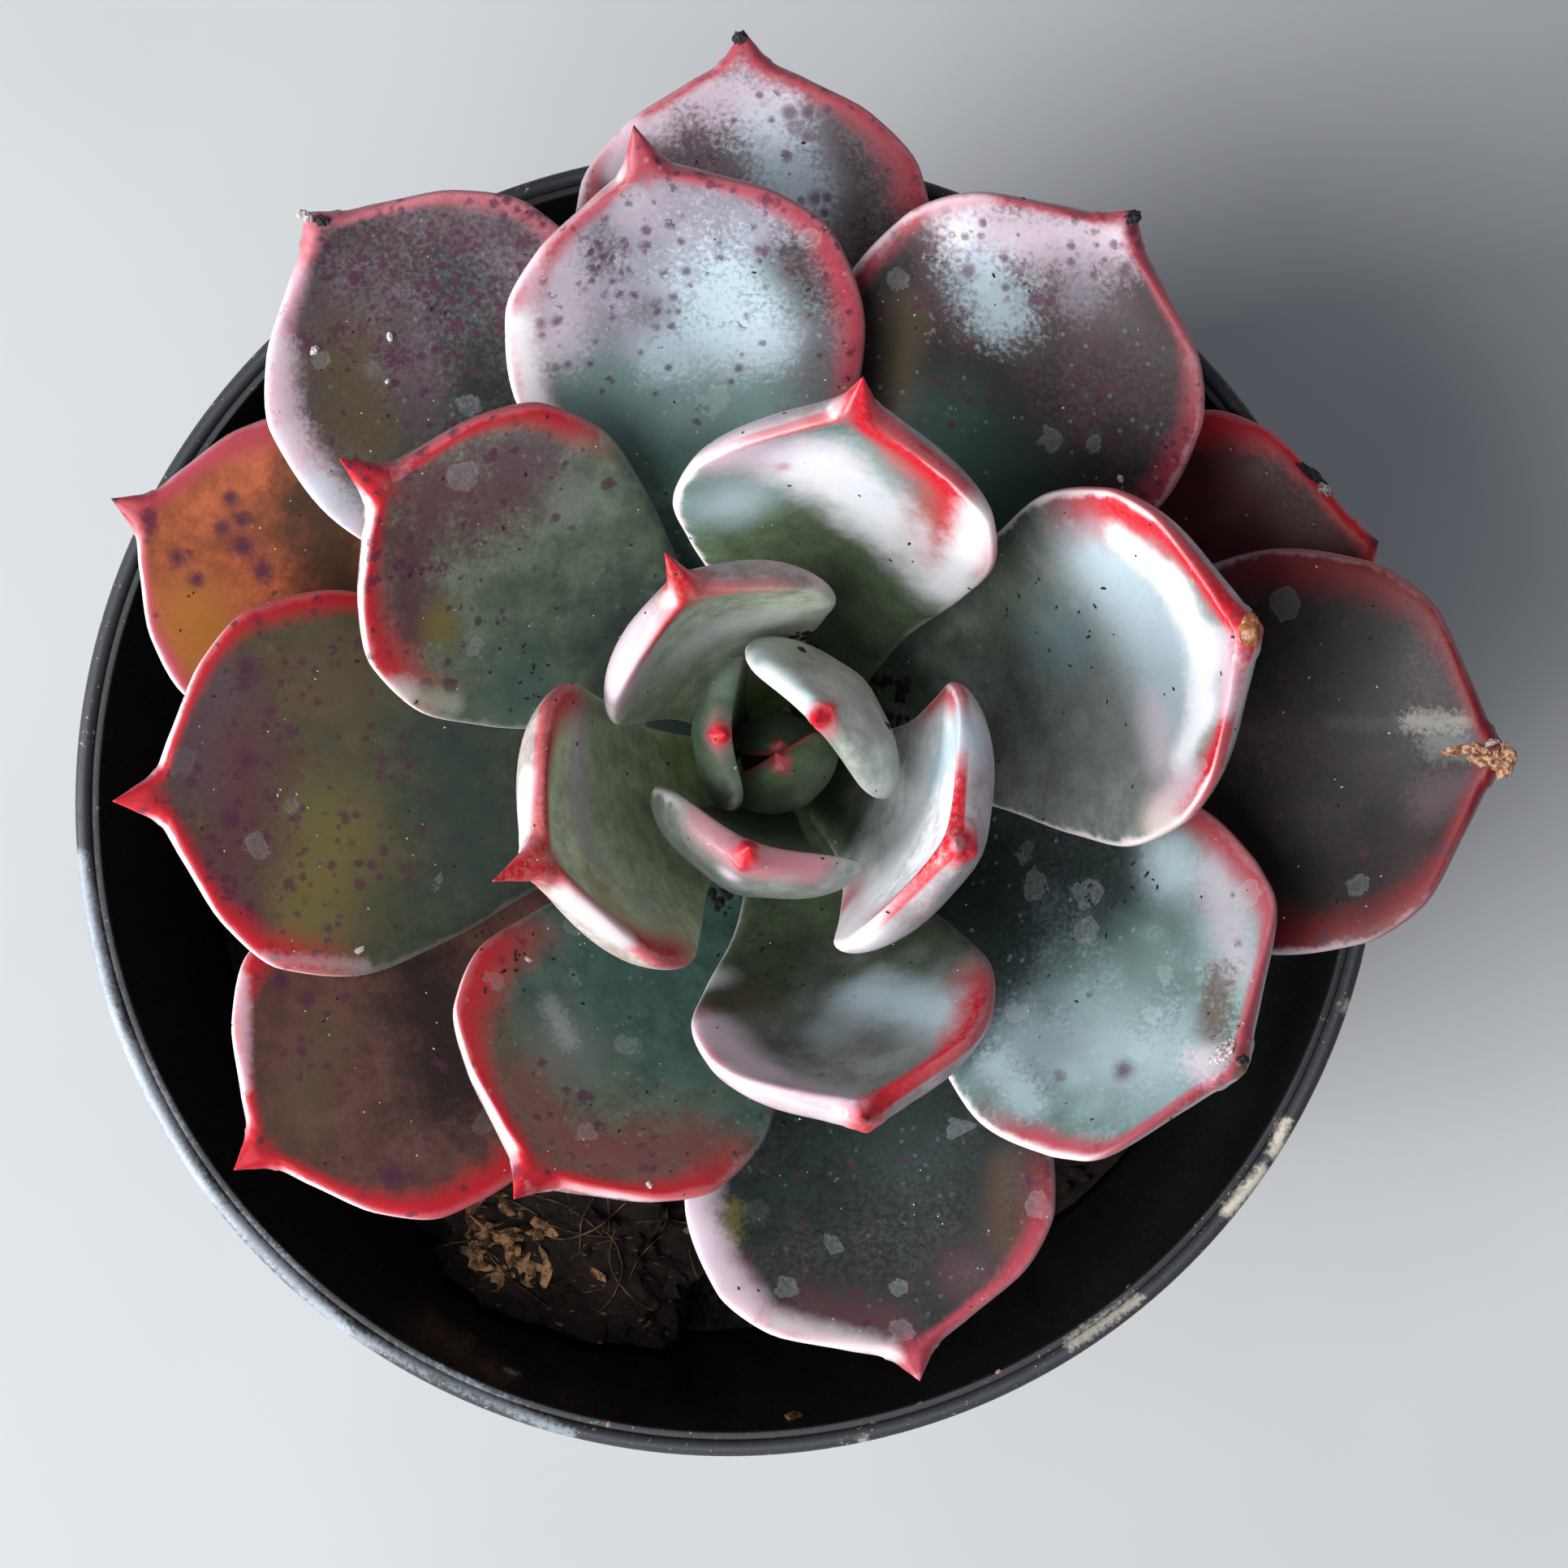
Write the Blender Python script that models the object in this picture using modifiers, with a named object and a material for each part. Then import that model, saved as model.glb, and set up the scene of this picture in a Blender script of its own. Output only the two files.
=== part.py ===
"""Potted echeveria: a rosette of thick pointed leaves on a short stem, in a round black nursery pot.

Metres, +Z up. The origin is the centre of the pot's underside, on the pot's axis. The stem stands a
little off that axis. Leaves are numbered from the crown outwards, each a golden angle on from the last.
"""

import math
from collections import namedtuple

import bmesh
import bpy
from mathutils import Vector

MM = 0.001
GAP = 0.3 * MM

# The pot
RIM_RADIUS = 45.0 * MM
RIM_INNER_RADIUS = 43.4 * MM
POT_HEIGHT = 80.0 * MM
WALL = 0.9 * MM
WALL_SLOPE = 0.165
COLLAR_HEIGHT = 9.0 * MM
RIM_LEDGE = 0.6 * MM
LEDGE_DROP = 0.4 * MM
RIM_ROUND = 0.35 * MM
FLOOR = 1.1 * MM
FOOT_CORNER = 1.6 * MM
CHANNEL_INNER_RADIUS = 13.0 * MM
CHANNEL_OUTER_RADIUS = 26.5 * MM
CHANNEL_RISE = 1.2 * MM
CHANNEL_EDGE = 0.8 * MM
DRAIN_HOLES = 6
DRAIN_HOLE_RADIUS = 3.2 * MM
DRAIN_RING_RADIUS = 19.75 * MM
POT_STEPS = 64

# The soil
SOIL_HEIGHT = 58.0 * MM
SOIL_BASE = FLOOR + CHANNEL_RISE + GAP
SOIL_STEPS = 40
SOIL_RINGS = 8
SOIL_EDGE_DROP = 2.0 * MM
SOIL_EDGE_START = 33.0 * MM
SOIL_EDGE_WIDTH = 6.0 * MM
SOIL_MOUND = 1.4 * MM
SOIL_MOUND_RADIUS = 9.0 * MM
SOIL_LUMPS = 0.55 * MM
SOIL_LUMP_SPACING = 9.0 * MM

# The clod of coir that lies on the soil and leans on the wall
CLOD_X, CLOD_Y = -11.5 * MM, -31.8 * MM
CLOD_LONG, CLOD_WIDE, CLOD_HIGH = 9.2 * MM, 7.0 * MM, 5.6 * MM
CLOD_MIDDLE = 61.5 * MM
CLOD_TURN = math.radians(-16)
CLOD_SEGMENTS, CLOD_RINGS = 18, 11
CLOD_ROUGHNESS = 0.12
CLOD_OFF_WALL = 0.5 * MM
CLOD_OFF_SOIL = 0.9 * MM

# The stem
STEM_X, STEM_Y = 3.5 * MM, 3.0 * MM
STEM_FOOT = 48.0 * MM
STEM_RADIUS = 5.0 * MM
STEM_TOP_RADIUS = 2.2 * MM
STEM_FLARE = 0.5 * MM
STEM_STEPS = 20
HOLE_RADIUS = STEM_RADIUS + STEM_FLARE + GAP

# The rosette
LAST_LEAF = 24
LOWEST_LEAF_HEIGHT = 66.5 * MM
LEAF_STEP = 0.9 * MM
LEAF_SEGMENTS = 12
BUD_SEGMENTS = 8
UPPER_SHARE = 0.4
LINE_STEPS = 120

# Places along a leaf: 0 to 1 is its blade, 1 to 2 its sharp point.
POINT_START = 1.0
LEAF_RINGS = (0.0, 0.02, 0.10, 0.22, 0.34, 0.46, 0.58, 0.70, 0.80, 0.88, 0.94, 0.975, 1.0, 1.5, 2.0)

# The hollow across a blade opens from a share at the foot to its full angle, and halves at the tip.
FOOT_HOLLOW = 0.45
FULL_HOLLOW_PLACE = 0.70
TIP_HOLLOW = 0.50
TIP_HOLLOW_PLACE = 0.94
HOOK_PLACE = 0.93
TIP_CHANGE = 0.3
ROUNDEST_SECTION = 1.7

# Place along a leaf, and the share of its greatest half width there
OUTLINE = (
    (0.00, 0.00),
    (0.02, 0.30),
    (0.11, 0.38),
    (0.32, 0.58),
    (0.53, 0.86),
    (0.70, 1.00),
    (0.83, 0.93),
    (0.92, 0.67),
    (0.973, 0.32),
    (1.00, 0.14),
    (1.50, 0.06),
    (2.00, 0.00),
)

# Place along a leaf, and the share of its greatest thickness there
FOOT_THICKNESS = 0.55
THICKNESS = ((0.00, FOOT_THICKNESS), (0.15, 0.72), (0.40, 0.95), (0.65, 1.00), (0.85, 0.85), (0.97, 0.60), (2.00, 0.50))

# Some blades stay wide nearly up to the point: a share of the half width is added round this place.
FULL_PLACE = 0.925
FULL_SPREAD = 0.05

# One row a leaf. Sizes are in millimetres: length from the stem to the tip, greatest width, greatest
# thickness, and the length of the sharp point. Angles are in degrees: azimuth from +X, rise above the
# horizontal at the base and at the tip, half angle of the hollow across the blade, how far the point
# bends back outwards, roll about the leaf's own line, and how far the leaf turns sideways. The last is
# how much wider than the outline the blade stays near its point, as a share of its half width.
Leaf = namedtuple(
    "Leaf", "number azimuth length width base_rise tip_rise point hollow thickness hook roll turn full"
)
LEAVES = (
    Leaf(2, 157, 19.6, 10.4, 76, 100, 0.8, 36, 2.3, 0, 28, 0, 0.10),
    Leaf(3, 43, 23.2, 14.0, 65, 115, 1.0, 36, 2.8, 0, 0, 0, 0.10),
    Leaf(4, -108, 25.0, 15.2, 63, 105, 1.2, 40, 3.0, 0, -4, 0, 0.10),
    Leaf(5, 119, 29.8, 17.8, 62, 83, 3.4, 45, 3.3, 45, 0, 0, 0),
    Leaf(6, -21, 31.8, 20.0, 55, 93, 1.2, 42, 3.4, 0, 19, -23, 0.08),
    Leaf(7, 203.5, 34.6, 21.0, 54, 81, 3.9, 40, 3.5, 45, 0, 0, 0),
    Leaf(8, 75.5, 36.4, 22.4, 43, 71.5, 3.2, 38, 3.5, 20, 0, 5, 0),
    Leaf(9, -74, 36.4, 20.8, 42, 73, 1.6, 36, 3.5, 0, 0, -7, 0.08),
    Leaf(10, 144, 37.8, 22.8, 32, 42, 3.8, 28, 3.5, 0, 0, 4, 0),
    Leaf(11, 17, 39.6, 24.8, 33, 60, 1.2, 34, 3.6, 0, 0, -5, 0.06),
    Leaf(12, -116.5, 36.2, 23.6, 30, 42, 2.6, 30, 3.6, 0, 0, -10.5, 0),
    Leaf(13, 102, 43.8, 24.4, 26, 34, 3.2, 22, 3.6, 0, 0, 2, 0),
    Leaf(14, -33, 38.3, 26.4, 26, 38, 1.0, 26, 3.6, 0, 0, -2, 0.12),
    Leaf(15, 182.3, 43.8, 26.4, 22, 28, 3.2, 20, 3.6, 0, 0, 3, 0),
    Leaf(16, 60.5, 44.0, 26.6, 24, 34, 1.8, 24, 3.6, 0, 0, -8, 0.05),
    Leaf(17, -79, 41.4, 25.8, 20, 26, 2.2, 22, 3.6, 0, 0, 4, 0.04),
    Leaf(18, 130, 47.6, 25.4, 21, 28, 1.6, 22, 3.6, 0, 0, 2, 0),
    Leaf(19, 2, 48.4, 27.8, 23, 28, 1.4, 18, 3.6, 0, 0, -4, 0.06),
    Leaf(20, -143, 44.2, 24.6, 18, 24, 2.4, 20, 3.4, 0, 0, 0, 0),
    Leaf(21, 92.8, 47.8, 25.2, 22, 24, 2.2, 18, 3.4, 0, 0, 0, 0),
    Leaf(23, 160, 46.6, 23.0, 22, 20, 2.4, 16, 3.2, 0, 0, -3, 0),
    Leaf(24, 20, 41.6, 27.0, 25, 22, 1.0, 8, 3.2, 0, 0, 0, 0.04),
)
BUD_LEAVES = (
    Leaf(1, -60, 14.0, 7.8, 66, 126, 0.7, 36, 2.2, 0, 0, 0, 0.10),
    Leaf(0, 84, 11.5, 6.6, 68, 122, 0.6, 34, 1.8, 0, 0, 0, 0.10),
    Leaf(-1, 218, 8.6, 4.6, 74, 112, 0.5, 32, 1.5, 0, 0, 0, 0.10),
)
BUD_CORE_RADIUS = 1.75 * MM
BUD_CORE_HEIGHT = 3.4 * MM
BUD_CORE_SINK = 0.5
BUD_CORE_SEGMENTS, BUD_CORE_RINGS = 10, 8
BUD_FOOT_DISTANCE = 1.0 * MM
# A leaf's first ring is rounder than its foot is thick, so its skin lies about 0.3 mm off the stem.
FOOT_GAP = 0.03 * MM

# Each finish is a colour and a roughness.
POT_BLACK = ((0.012, 0.012, 0.013, 1.0), 0.32)
SOIL_BROWN = ((0.035, 0.020, 0.012, 1.0), 0.95)
COIR_BROWN = ((0.16, 0.08, 0.035, 1.0), 0.95)
STEM_BROWN = ((0.15, 0.13, 0.07, 1.0), 0.80)
TEAL = ((0.20, 0.30, 0.26, 1.0), 0.45)
PLUM = ((0.16, 0.13, 0.13, 1.0), 0.45)
AMBER = ((0.34, 0.13, 0.03, 1.0), 0.45)
MAROON = ((0.15, 0.02, 0.02, 1.0), 0.45)
PLUM_LEAVES = (15, 18, 19, 20, 21)
AMBER_LEAVES = (23,)
MAROON_LEAVES = (24,)


def clear_scene():
    for old in list(bpy.data.objects):
        bpy.data.objects.remove(old, do_unlink=True)


def new_collection(name):
    collection = bpy.data.collections.new(name)
    bpy.context.scene.collection.children.link(collection)
    return collection


def plain_material(name, finish):
    """A plain material of one colour and roughness."""
    colour, roughness = finish
    material = bpy.data.materials.new(name)
    material.use_nodes = True
    shader = material.node_tree.nodes["Principled BSDF"]
    shader.inputs["Base Color"].default_value = colour
    shader.inputs["Roughness"].default_value = roughness
    shader.inputs["Metallic"].default_value = 0.0
    return material


def add_object(name, mesh, collection, finish):
    piece = bpy.data.objects.new(name, mesh)
    mesh.materials.append(plain_material(name + "_finish", finish))
    collection.objects.link(piece)
    return piece


def smooth_shade(mesh):
    mesh.shade_smooth()
    mesh.set_sharp_from_angle(angle=math.radians(40))


def eased(share):
    """0 to 1 with a soft start and end."""
    share = min(1.0, max(0.0, share))
    return share * share * (3 - 2 * share)


def smooth_between(points, place):
    """The value at a place on a smooth curve through (place, value) points, with no overshoot between them."""
    last = len(points) - 1
    place = min(points[last][0], max(points[0][0], place))
    i = 0
    while i < last - 1 and place >= points[i + 1][0]:
        i += 1

    def slope(k):
        return (points[k + 1][1] - points[k][1]) / (points[k + 1][0] - points[k][0])

    def tangent(k):
        if k == 0:
            return slope(0)
        if k == last:
            return slope(last - 1)
        before = slope(k - 1)
        after = slope(k)
        return 2 * before * after / (before + after) if before * after > 0 else 0.0

    (x0, y0), (x1, y1) = points[i], points[i + 1]
    wide = x1 - x0
    t = (place - x0) / wide
    return (
        y0 * (2 * t**3 - 3 * t**2 + 1)
        + tangent(i) * wide * (t**3 - 2 * t**2 + t)
        + y1 * (3 * t**2 - 2 * t**3)
        + tangent(i + 1) * wide * (t**3 - t**2)
    )


def inner_wall_radius(height):
    """The radius of the inside of the pot's wall at a height."""
    return RIM_INNER_RADIUS - WALL_SLOPE * (POT_HEIGHT - height)


def turned(name, profile, steps, collection, finish):
    """A solid turned about Z from a profile of (radius, height) that runs down its outer side."""
    mesh = bpy.data.meshes.new(name)
    edges = [(i, i + 1) for i in range(len(profile) - 1)]
    mesh.from_pydata([(radius, 0.0, height) for radius, height in profile], edges, [])
    piece = add_object(name, mesh, collection, finish)
    screw = piece.modifiers.new("turn", "SCREW")
    screw.axis = "Z"
    screw.steps = steps
    screw.render_steps = steps
    screw.use_merge_vertices = True
    screw.merge_threshold = 0.00001
    screw.use_smooth_shade = True
    return piece


def as_mesh(piece):
    """Replaces an object's modifiers with the mesh that they make."""
    graph = bpy.context.evaluated_depsgraph_get()
    made = bpy.data.meshes.new_from_object(piece.evaluated_get(graph))
    piece.modifiers.clear()
    piece.data = made
    return piece


def cut(piece, cutters):
    """Cuts the solids of a collection out of a piece."""
    boolean = piece.modifiers.new("cut", "BOOLEAN")
    boolean.operation = "DIFFERENCE"
    boolean.operand_type = "COLLECTION"
    boolean.collection = cutters


def pin_cutter(name, radius, low, high, place, cutters, sides=24):
    """A round cutter that stands on a place in the ground plan."""
    mesh = bpy.data.meshes.new(name)
    shape = bmesh.new()
    bmesh.ops.create_cone(
        shape, cap_ends=True, segments=sides, radius1=radius, radius2=radius, depth=high - low
    )
    bmesh.ops.translate(shape, verts=shape.verts, vec=(place[0], place[1], (low + high) / 2))
    shape.to_mesh(mesh)
    shape.free()
    cutter = bpy.data.objects.new(name, mesh)
    cutter.hide_render = True
    cutter.display_type = "WIRE"
    cutters.objects.link(cutter)


def make_pot(collection, cutters):
    """The nursery pot: a tapered wall, a collar under a stepped rim, and a raised channel with drain holes."""
    collar_bottom = POT_HEIGHT - COLLAR_HEIGHT
    wall_at_collar = inner_wall_radius(collar_bottom) + WALL
    foot_radius = inner_wall_radius(FOOT_CORNER) + WALL
    profile = [
        (0.0, FLOOR),
        (CHANNEL_INNER_RADIUS - CHANNEL_EDGE, FLOOR),
        (CHANNEL_INNER_RADIUS, FLOOR + CHANNEL_RISE),
        (CHANNEL_OUTER_RADIUS, FLOOR + CHANNEL_RISE),
        (CHANNEL_OUTER_RADIUS + CHANNEL_EDGE, FLOOR),
        (inner_wall_radius(FLOOR) - FLOOR, FLOOR),
        (inner_wall_radius(2 * FLOOR), 2 * FLOOR),
        (inner_wall_radius(POT_HEIGHT - LEDGE_DROP), POT_HEIGHT - LEDGE_DROP),
        (RIM_INNER_RADIUS + RIM_LEDGE, POT_HEIGHT - LEDGE_DROP),
        (RIM_INNER_RADIUS + RIM_LEDGE, POT_HEIGHT),
        (RIM_RADIUS - RIM_ROUND, POT_HEIGHT),
        (RIM_RADIUS, POT_HEIGHT - RIM_ROUND),
        (RIM_RADIUS - RIM_ROUND, collar_bottom),
        (wall_at_collar, collar_bottom - RIM_ROUND),
        (foot_radius, FOOT_CORNER),
        (foot_radius - FOOT_CORNER, 0.0),
        (CHANNEL_OUTER_RADIUS, 0.0),
        (CHANNEL_OUTER_RADIUS - CHANNEL_EDGE, CHANNEL_RISE),
        (CHANNEL_INNER_RADIUS + CHANNEL_EDGE, CHANNEL_RISE),
        (CHANNEL_INNER_RADIUS, 0.0),
        (0.0, 0.0),
    ]
    pot = turned("pot", profile, POT_STEPS, collection, POT_BLACK)
    for i in range(DRAIN_HOLES):
        around = 2 * math.pi * (i + 0.5) / DRAIN_HOLES
        place = (DRAIN_RING_RADIUS * math.cos(around), DRAIN_RING_RADIUS * math.sin(around))
        pin_cutter(f"drain_cutter_{i + 1}", DRAIN_HOLE_RADIUS, -FLOOR, 4 * FLOOR, place, cutters)
    cut(pot, cutters)


def soil_surface(x, y):
    """The height of the soil at a place in the ground plan: lumpy, mounded at the stem, lower at the wall."""
    from_axis = math.hypot(x, y)
    from_stem = math.hypot(x - STEM_X, y - STEM_Y)
    turn = 2 * math.pi / SOIL_LUMP_SPACING
    lumps = math.sin(turn * x + 1.3) * math.cos(turn * 0.8 * y + 0.4)
    lumps += 0.6 * math.sin(turn * 0.47 * (x + y) + 2.1)
    mound = SOIL_MOUND * math.exp(-((from_stem / SOIL_MOUND_RADIUS) ** 2))
    edge = SOIL_EDGE_DROP * eased((from_axis - SOIL_EDGE_START) / SOIL_EDGE_WIDTH)
    return SOIL_HEIGHT + SOIL_LUMPS * lumps + mound - edge


def make_soil(collection, cutters):
    """The potting soil that fills the pot to a little below its rim, with a plain hole for the stem."""
    top_radius = inner_wall_radius(SOIL_HEIGHT) - GAP
    corner = 2 * FLOOR
    profile = [(0.0, SOIL_HEIGHT)]
    for i in range(1, SOIL_RINGS + 1):
        profile.append((top_radius * i / SOIL_RINGS, SOIL_HEIGHT))
    profile.append((inner_wall_radius(SOIL_BASE + corner) - GAP, SOIL_BASE + corner))
    profile.append((inner_wall_radius(SOIL_BASE) - GAP - corner, SOIL_BASE))
    profile.append((0.0, SOIL_BASE))
    soil = turned("potting_soil", profile, SOIL_STEPS, collection, SOIL_BROWN)
    as_mesh(soil)
    for vertex in soil.data.vertices:
        if vertex.co.z > SOIL_HEIGHT - MM:
            low = soil_surface(vertex.co.x, vertex.co.y) - vertex.co.z
            narrowed = 1.0 + WALL_SLOPE * min(0.0, low) / top_radius
            vertex.co.x *= narrowed
            vertex.co.y *= narrowed
            vertex.co.z += low
    pin_cutter(
        "stem_hole_cutter", HOLE_RADIUS, STEM_FOOT - GAP, SOIL_HEIGHT + 10 * MM, (STEM_X, STEM_Y), cutters
    )
    cut(soil, cutters)


def make_clod(collection):
    """A rough clod of coir, shaped underneath to the soil that it lies on and behind to the wall."""
    mesh = bpy.data.meshes.new("coir_clod")
    shape = bmesh.new()
    bmesh.ops.create_uvsphere(shape, u_segments=CLOD_SEGMENTS, v_segments=CLOD_RINGS, radius=1.0)
    for vertex in shape.verts:
        way = vertex.co.normalized()
        rough = math.sin(5.1 * way.x + 1.0) * math.cos(4.3 * way.y - 0.6)
        rough += math.sin(6.7 * way.y + 3.9 * way.z) * 0.7 + math.cos(7.9 * way.x - 5.3 * way.z) * 0.5
        size = 1.0 + CLOD_ROUGHNESS * rough
        along = way.x * CLOD_LONG * size
        across = way.y * CLOD_WIDE * size
        z = CLOD_MIDDLE + way.z * CLOD_HIGH * size
        x = CLOD_X + along * math.cos(CLOD_TURN) - across * math.sin(CLOD_TURN)
        y = CLOD_Y + along * math.sin(CLOD_TURN) + across * math.cos(CLOD_TURN)
        inside = min(1.0, (inner_wall_radius(z) - CLOD_OFF_WALL) / math.hypot(x, y))
        x *= inside
        y *= inside
        vertex.co = Vector((x, y, max(z, soil_surface(x, y) + CLOD_OFF_SOIL)))
    bmesh.ops.recalc_face_normals(shape, faces=shape.faces)
    shape.to_mesh(mesh)
    shape.free()
    smooth_shade(mesh)
    add_object("coir_clod", mesh, collection, COIR_BROWN)


def leaf_height(number):
    """The height on the stem where a leaf grows."""
    return LOWEST_LEAF_HEIGHT + (LAST_LEAF - number) * LEAF_STEP


def stem_radius(height):
    """The stem's radius: even up to the lowest leaf, then narrowing to the crown."""
    share = (height - LOWEST_LEAF_HEIGHT) / (LAST_LEAF * LEAF_STEP)
    return STEM_RADIUS - (STEM_RADIUS - STEM_TOP_RADIUS) * min(1.0, max(0.0, share))


def foot_distance(leaf):
    """How far from the stem's axis a leaf's line starts: beside the stem or, for the bud's, inside its core."""
    if leaf.number <= 1:
        return BUD_FOOT_DISTANCE
    upper_half = UPPER_SHARE * FOOT_THICKNESS * leaf.thickness * MM
    return stem_radius(leaf_height(leaf.number)) + FOOT_GAP + upper_half * math.sin(math.radians(leaf.base_rise))


def make_stem(collection):
    """The short stem, from its foot in the soil to just under the bud."""
    crown = leaf_height(1) - GAP
    shoulder = leaf_height(2)
    profile = [
        (0.0, crown),
        (0.7 * stem_radius(shoulder), crown - 0.2 * MM),
        (stem_radius(shoulder), shoulder - 0.3 * MM),
        (stem_radius(leaf_height(LAST_LEAF)), leaf_height(LAST_LEAF)),
        (STEM_RADIUS, SOIL_HEIGHT + 4 * MM),
        (STEM_RADIUS + STEM_FLARE, SOIL_HEIGHT),
        (STEM_RADIUS + STEM_FLARE, STEM_FOOT + MM),
        (STEM_RADIUS, STEM_FOOT),
        (0.0, STEM_FOOT),
    ]
    stem = turned("stem", profile, STEM_STEPS, collection, STEM_BROWN)
    stem.location = (STEM_X, STEM_Y, 0.0)


def leaf_line(leaf):
    """Stations along a leaf's middle line: distance along it, then out, sideways and up from its foot."""
    length = leaf.length * MM
    blade = (leaf.length - leaf.point) * MM
    step = length / LINE_STEPS
    stations = [(0.0, 0.0, 0.0, 0.0, math.radians(leaf.base_rise))]
    out = side = up = 0.0
    for i in range(LINE_STEPS):
        share = (i + 0.5) / LINE_STEPS
        place = share * length / blade
        if place > POINT_START:
            place = POINT_START + (share * length - blade) / (leaf.point * MM)
        rise = leaf.base_rise + (leaf.tip_rise - leaf.base_rise) * share
        rise = math.radians(rise - leaf.hook * eased((place - HOOK_PLACE) / TIP_CHANGE))
        heading = math.radians(leaf.turn) * share
        out += step * math.cos(rise) * math.cos(heading)
        side += step * math.cos(rise) * math.sin(heading)
        up += step * math.sin(rise)
        stations.append((step * (i + 1), out, side, up, rise))
    return stations


def station_at(stations, distance):
    """The middle line's out, side, up and rise at a distance along it."""
    step = stations[1][0]
    i = min(len(stations) - 2, int(distance / step))
    share = (distance - stations[i][0]) / step
    return [low + (high - low) * share for low, high in zip(stations[i][1:], stations[i + 1][1:])]


def leaf_point(leaf, stations, place, around):
    """A point of a leaf's skin, at a place along it and an angle around its section."""
    blade = (leaf.length - leaf.point) * MM
    if place <= POINT_START:
        distance = place * blade
    else:
        distance = blade + (place - POINT_START) * leaf.point * MM
    out, side, up, rise = station_at(stations, distance)
    share = distance / (leaf.length * MM)
    azimuth = math.radians(leaf.azimuth)
    heading = azimuth + math.radians(leaf.turn) * share
    outward = Vector((math.cos(azimuth), math.sin(azimuth), 0.0))
    sideways = Vector((-math.sin(azimuth), math.cos(azimuth), 0.0))
    ahead = Vector((math.cos(heading), math.sin(heading), 0.0))
    beside = Vector((-math.sin(heading), math.cos(heading), 0.0))
    above = Vector((-math.sin(rise) * ahead.x, -math.sin(rise) * ahead.y, math.cos(rise)))
    roll = math.radians(leaf.roll) * share
    across = beside * math.cos(roll) + above * math.sin(roll)
    above = above * math.cos(roll) - beside * math.sin(roll)

    foot = leaf_height(leaf.number)
    centre = Vector((STEM_X, STEM_Y, foot + up))
    centre += outward * (foot_distance(leaf) + out) + sideways * side
    wide = smooth_between(OUTLINE, place)
    if wide > 0.0:
        wide += leaf.full * math.exp(-(((place - FULL_PLACE) / FULL_SPREAD) ** 2))
    half = wide * leaf.width * MM / 2
    thick = min(smooth_between(THICKNESS, place) * leaf.thickness * MM, ROUNDEST_SECTION * half)
    opened = FOOT_HOLLOW + (1.0 - FOOT_HOLLOW) * min(1.0, place / FULL_HOLLOW_PLACE)
    closed = 1.0 - (1.0 - TIP_HOLLOW) * eased((place - TIP_HOLLOW_PLACE) / TIP_CHANGE)
    hollow = math.radians(leaf.hollow) * opened * closed
    if half == 0.0:
        return centre
    radius = half / hollow
    u = math.cos(around)
    bend = u * hollow
    plump = math.sqrt(max(0.0, 1.0 - abs(u) ** 3))
    face = UPPER_SHARE if math.sin(around) > 0 else UPPER_SHARE - 1.0
    offset = face * thick * plump
    centre += across * (radius * math.sin(bend) - offset * math.sin(bend))
    centre += above * (radius * (1 - math.cos(bend)) + offset * math.cos(bend))
    return centre


def leaf_mesh(name, leaf, segments):
    """A leaf: a sphere whose poles are the leaf's foot and its tip."""
    mesh = bpy.data.meshes.new(name)
    shape = bmesh.new()
    rings = len(LEAF_RINGS) - 1
    bmesh.ops.create_uvsphere(shape, u_segments=segments, v_segments=rings, radius=1.0)
    stations = leaf_line(leaf)
    for vertex in shape.verts:
        way = vertex.co.normalized()
        ring = round(rings * math.acos(max(-1.0, min(1.0, -way.z))) / math.pi)
        around = math.atan2(way.y, way.x)
        vertex.co = leaf_point(leaf, stations, LEAF_RINGS[ring], around)
    bmesh.ops.triangulate(shape, faces=shape.faces)
    bmesh.ops.recalc_face_normals(shape, faces=shape.faces)
    shape.to_mesh(mesh)
    shape.free()
    smooth_shade(mesh)
    return mesh


def leaf_finish(number):
    if number in AMBER_LEAVES:
        return AMBER
    if number in MAROON_LEAVES:
        return MAROON
    return PLUM if number in PLUM_LEAVES else TEAL


def make_leaves(collection):
    for leaf in LEAVES:
        name = f"leaf_{leaf.number:02d}"
        mesh = leaf_mesh(name, leaf, LEAF_SEGMENTS)
        add_object(name, mesh, collection, leaf_finish(leaf.number))


def make_bud(collection):
    """The closed bud: its smallest leaves and the growing tip, grown together in one solid."""
    joined = new_collection("bud_pieces")
    for leaf in BUD_LEAVES:
        piece = bpy.data.objects.new(f"bud_leaf_{leaf.number}", leaf_mesh("bud_leaf", leaf, BUD_SEGMENTS))
        joined.objects.link(piece)
    mesh = bpy.data.meshes.new("crown_bud")
    shape = bmesh.new()
    bmesh.ops.create_uvsphere(shape, u_segments=BUD_CORE_SEGMENTS, v_segments=BUD_CORE_RINGS, radius=1.0)
    foot = leaf_height(1)
    for vertex in shape.verts:
        way = vertex.co.copy()
        height = foot + (way.z + BUD_CORE_SINK) / (1.0 + BUD_CORE_SINK) * BUD_CORE_HEIGHT
        vertex.co = Vector((STEM_X + way.x * BUD_CORE_RADIUS, STEM_Y + way.y * BUD_CORE_RADIUS, max(foot, height)))
    shape.to_mesh(mesh)
    shape.free()
    bud = add_object("crown_bud", mesh, collection, TEAL)
    boolean = bud.modifiers.new("grow", "BOOLEAN")
    boolean.operation = "UNION"
    boolean.operand_type = "COLLECTION"
    boolean.collection = joined
    as_mesh(bud)
    smooth_shade(bud.data)
    for piece in list(joined.objects):
        bpy.data.objects.remove(piece, do_unlink=True)
    bpy.data.collections.remove(joined)


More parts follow.
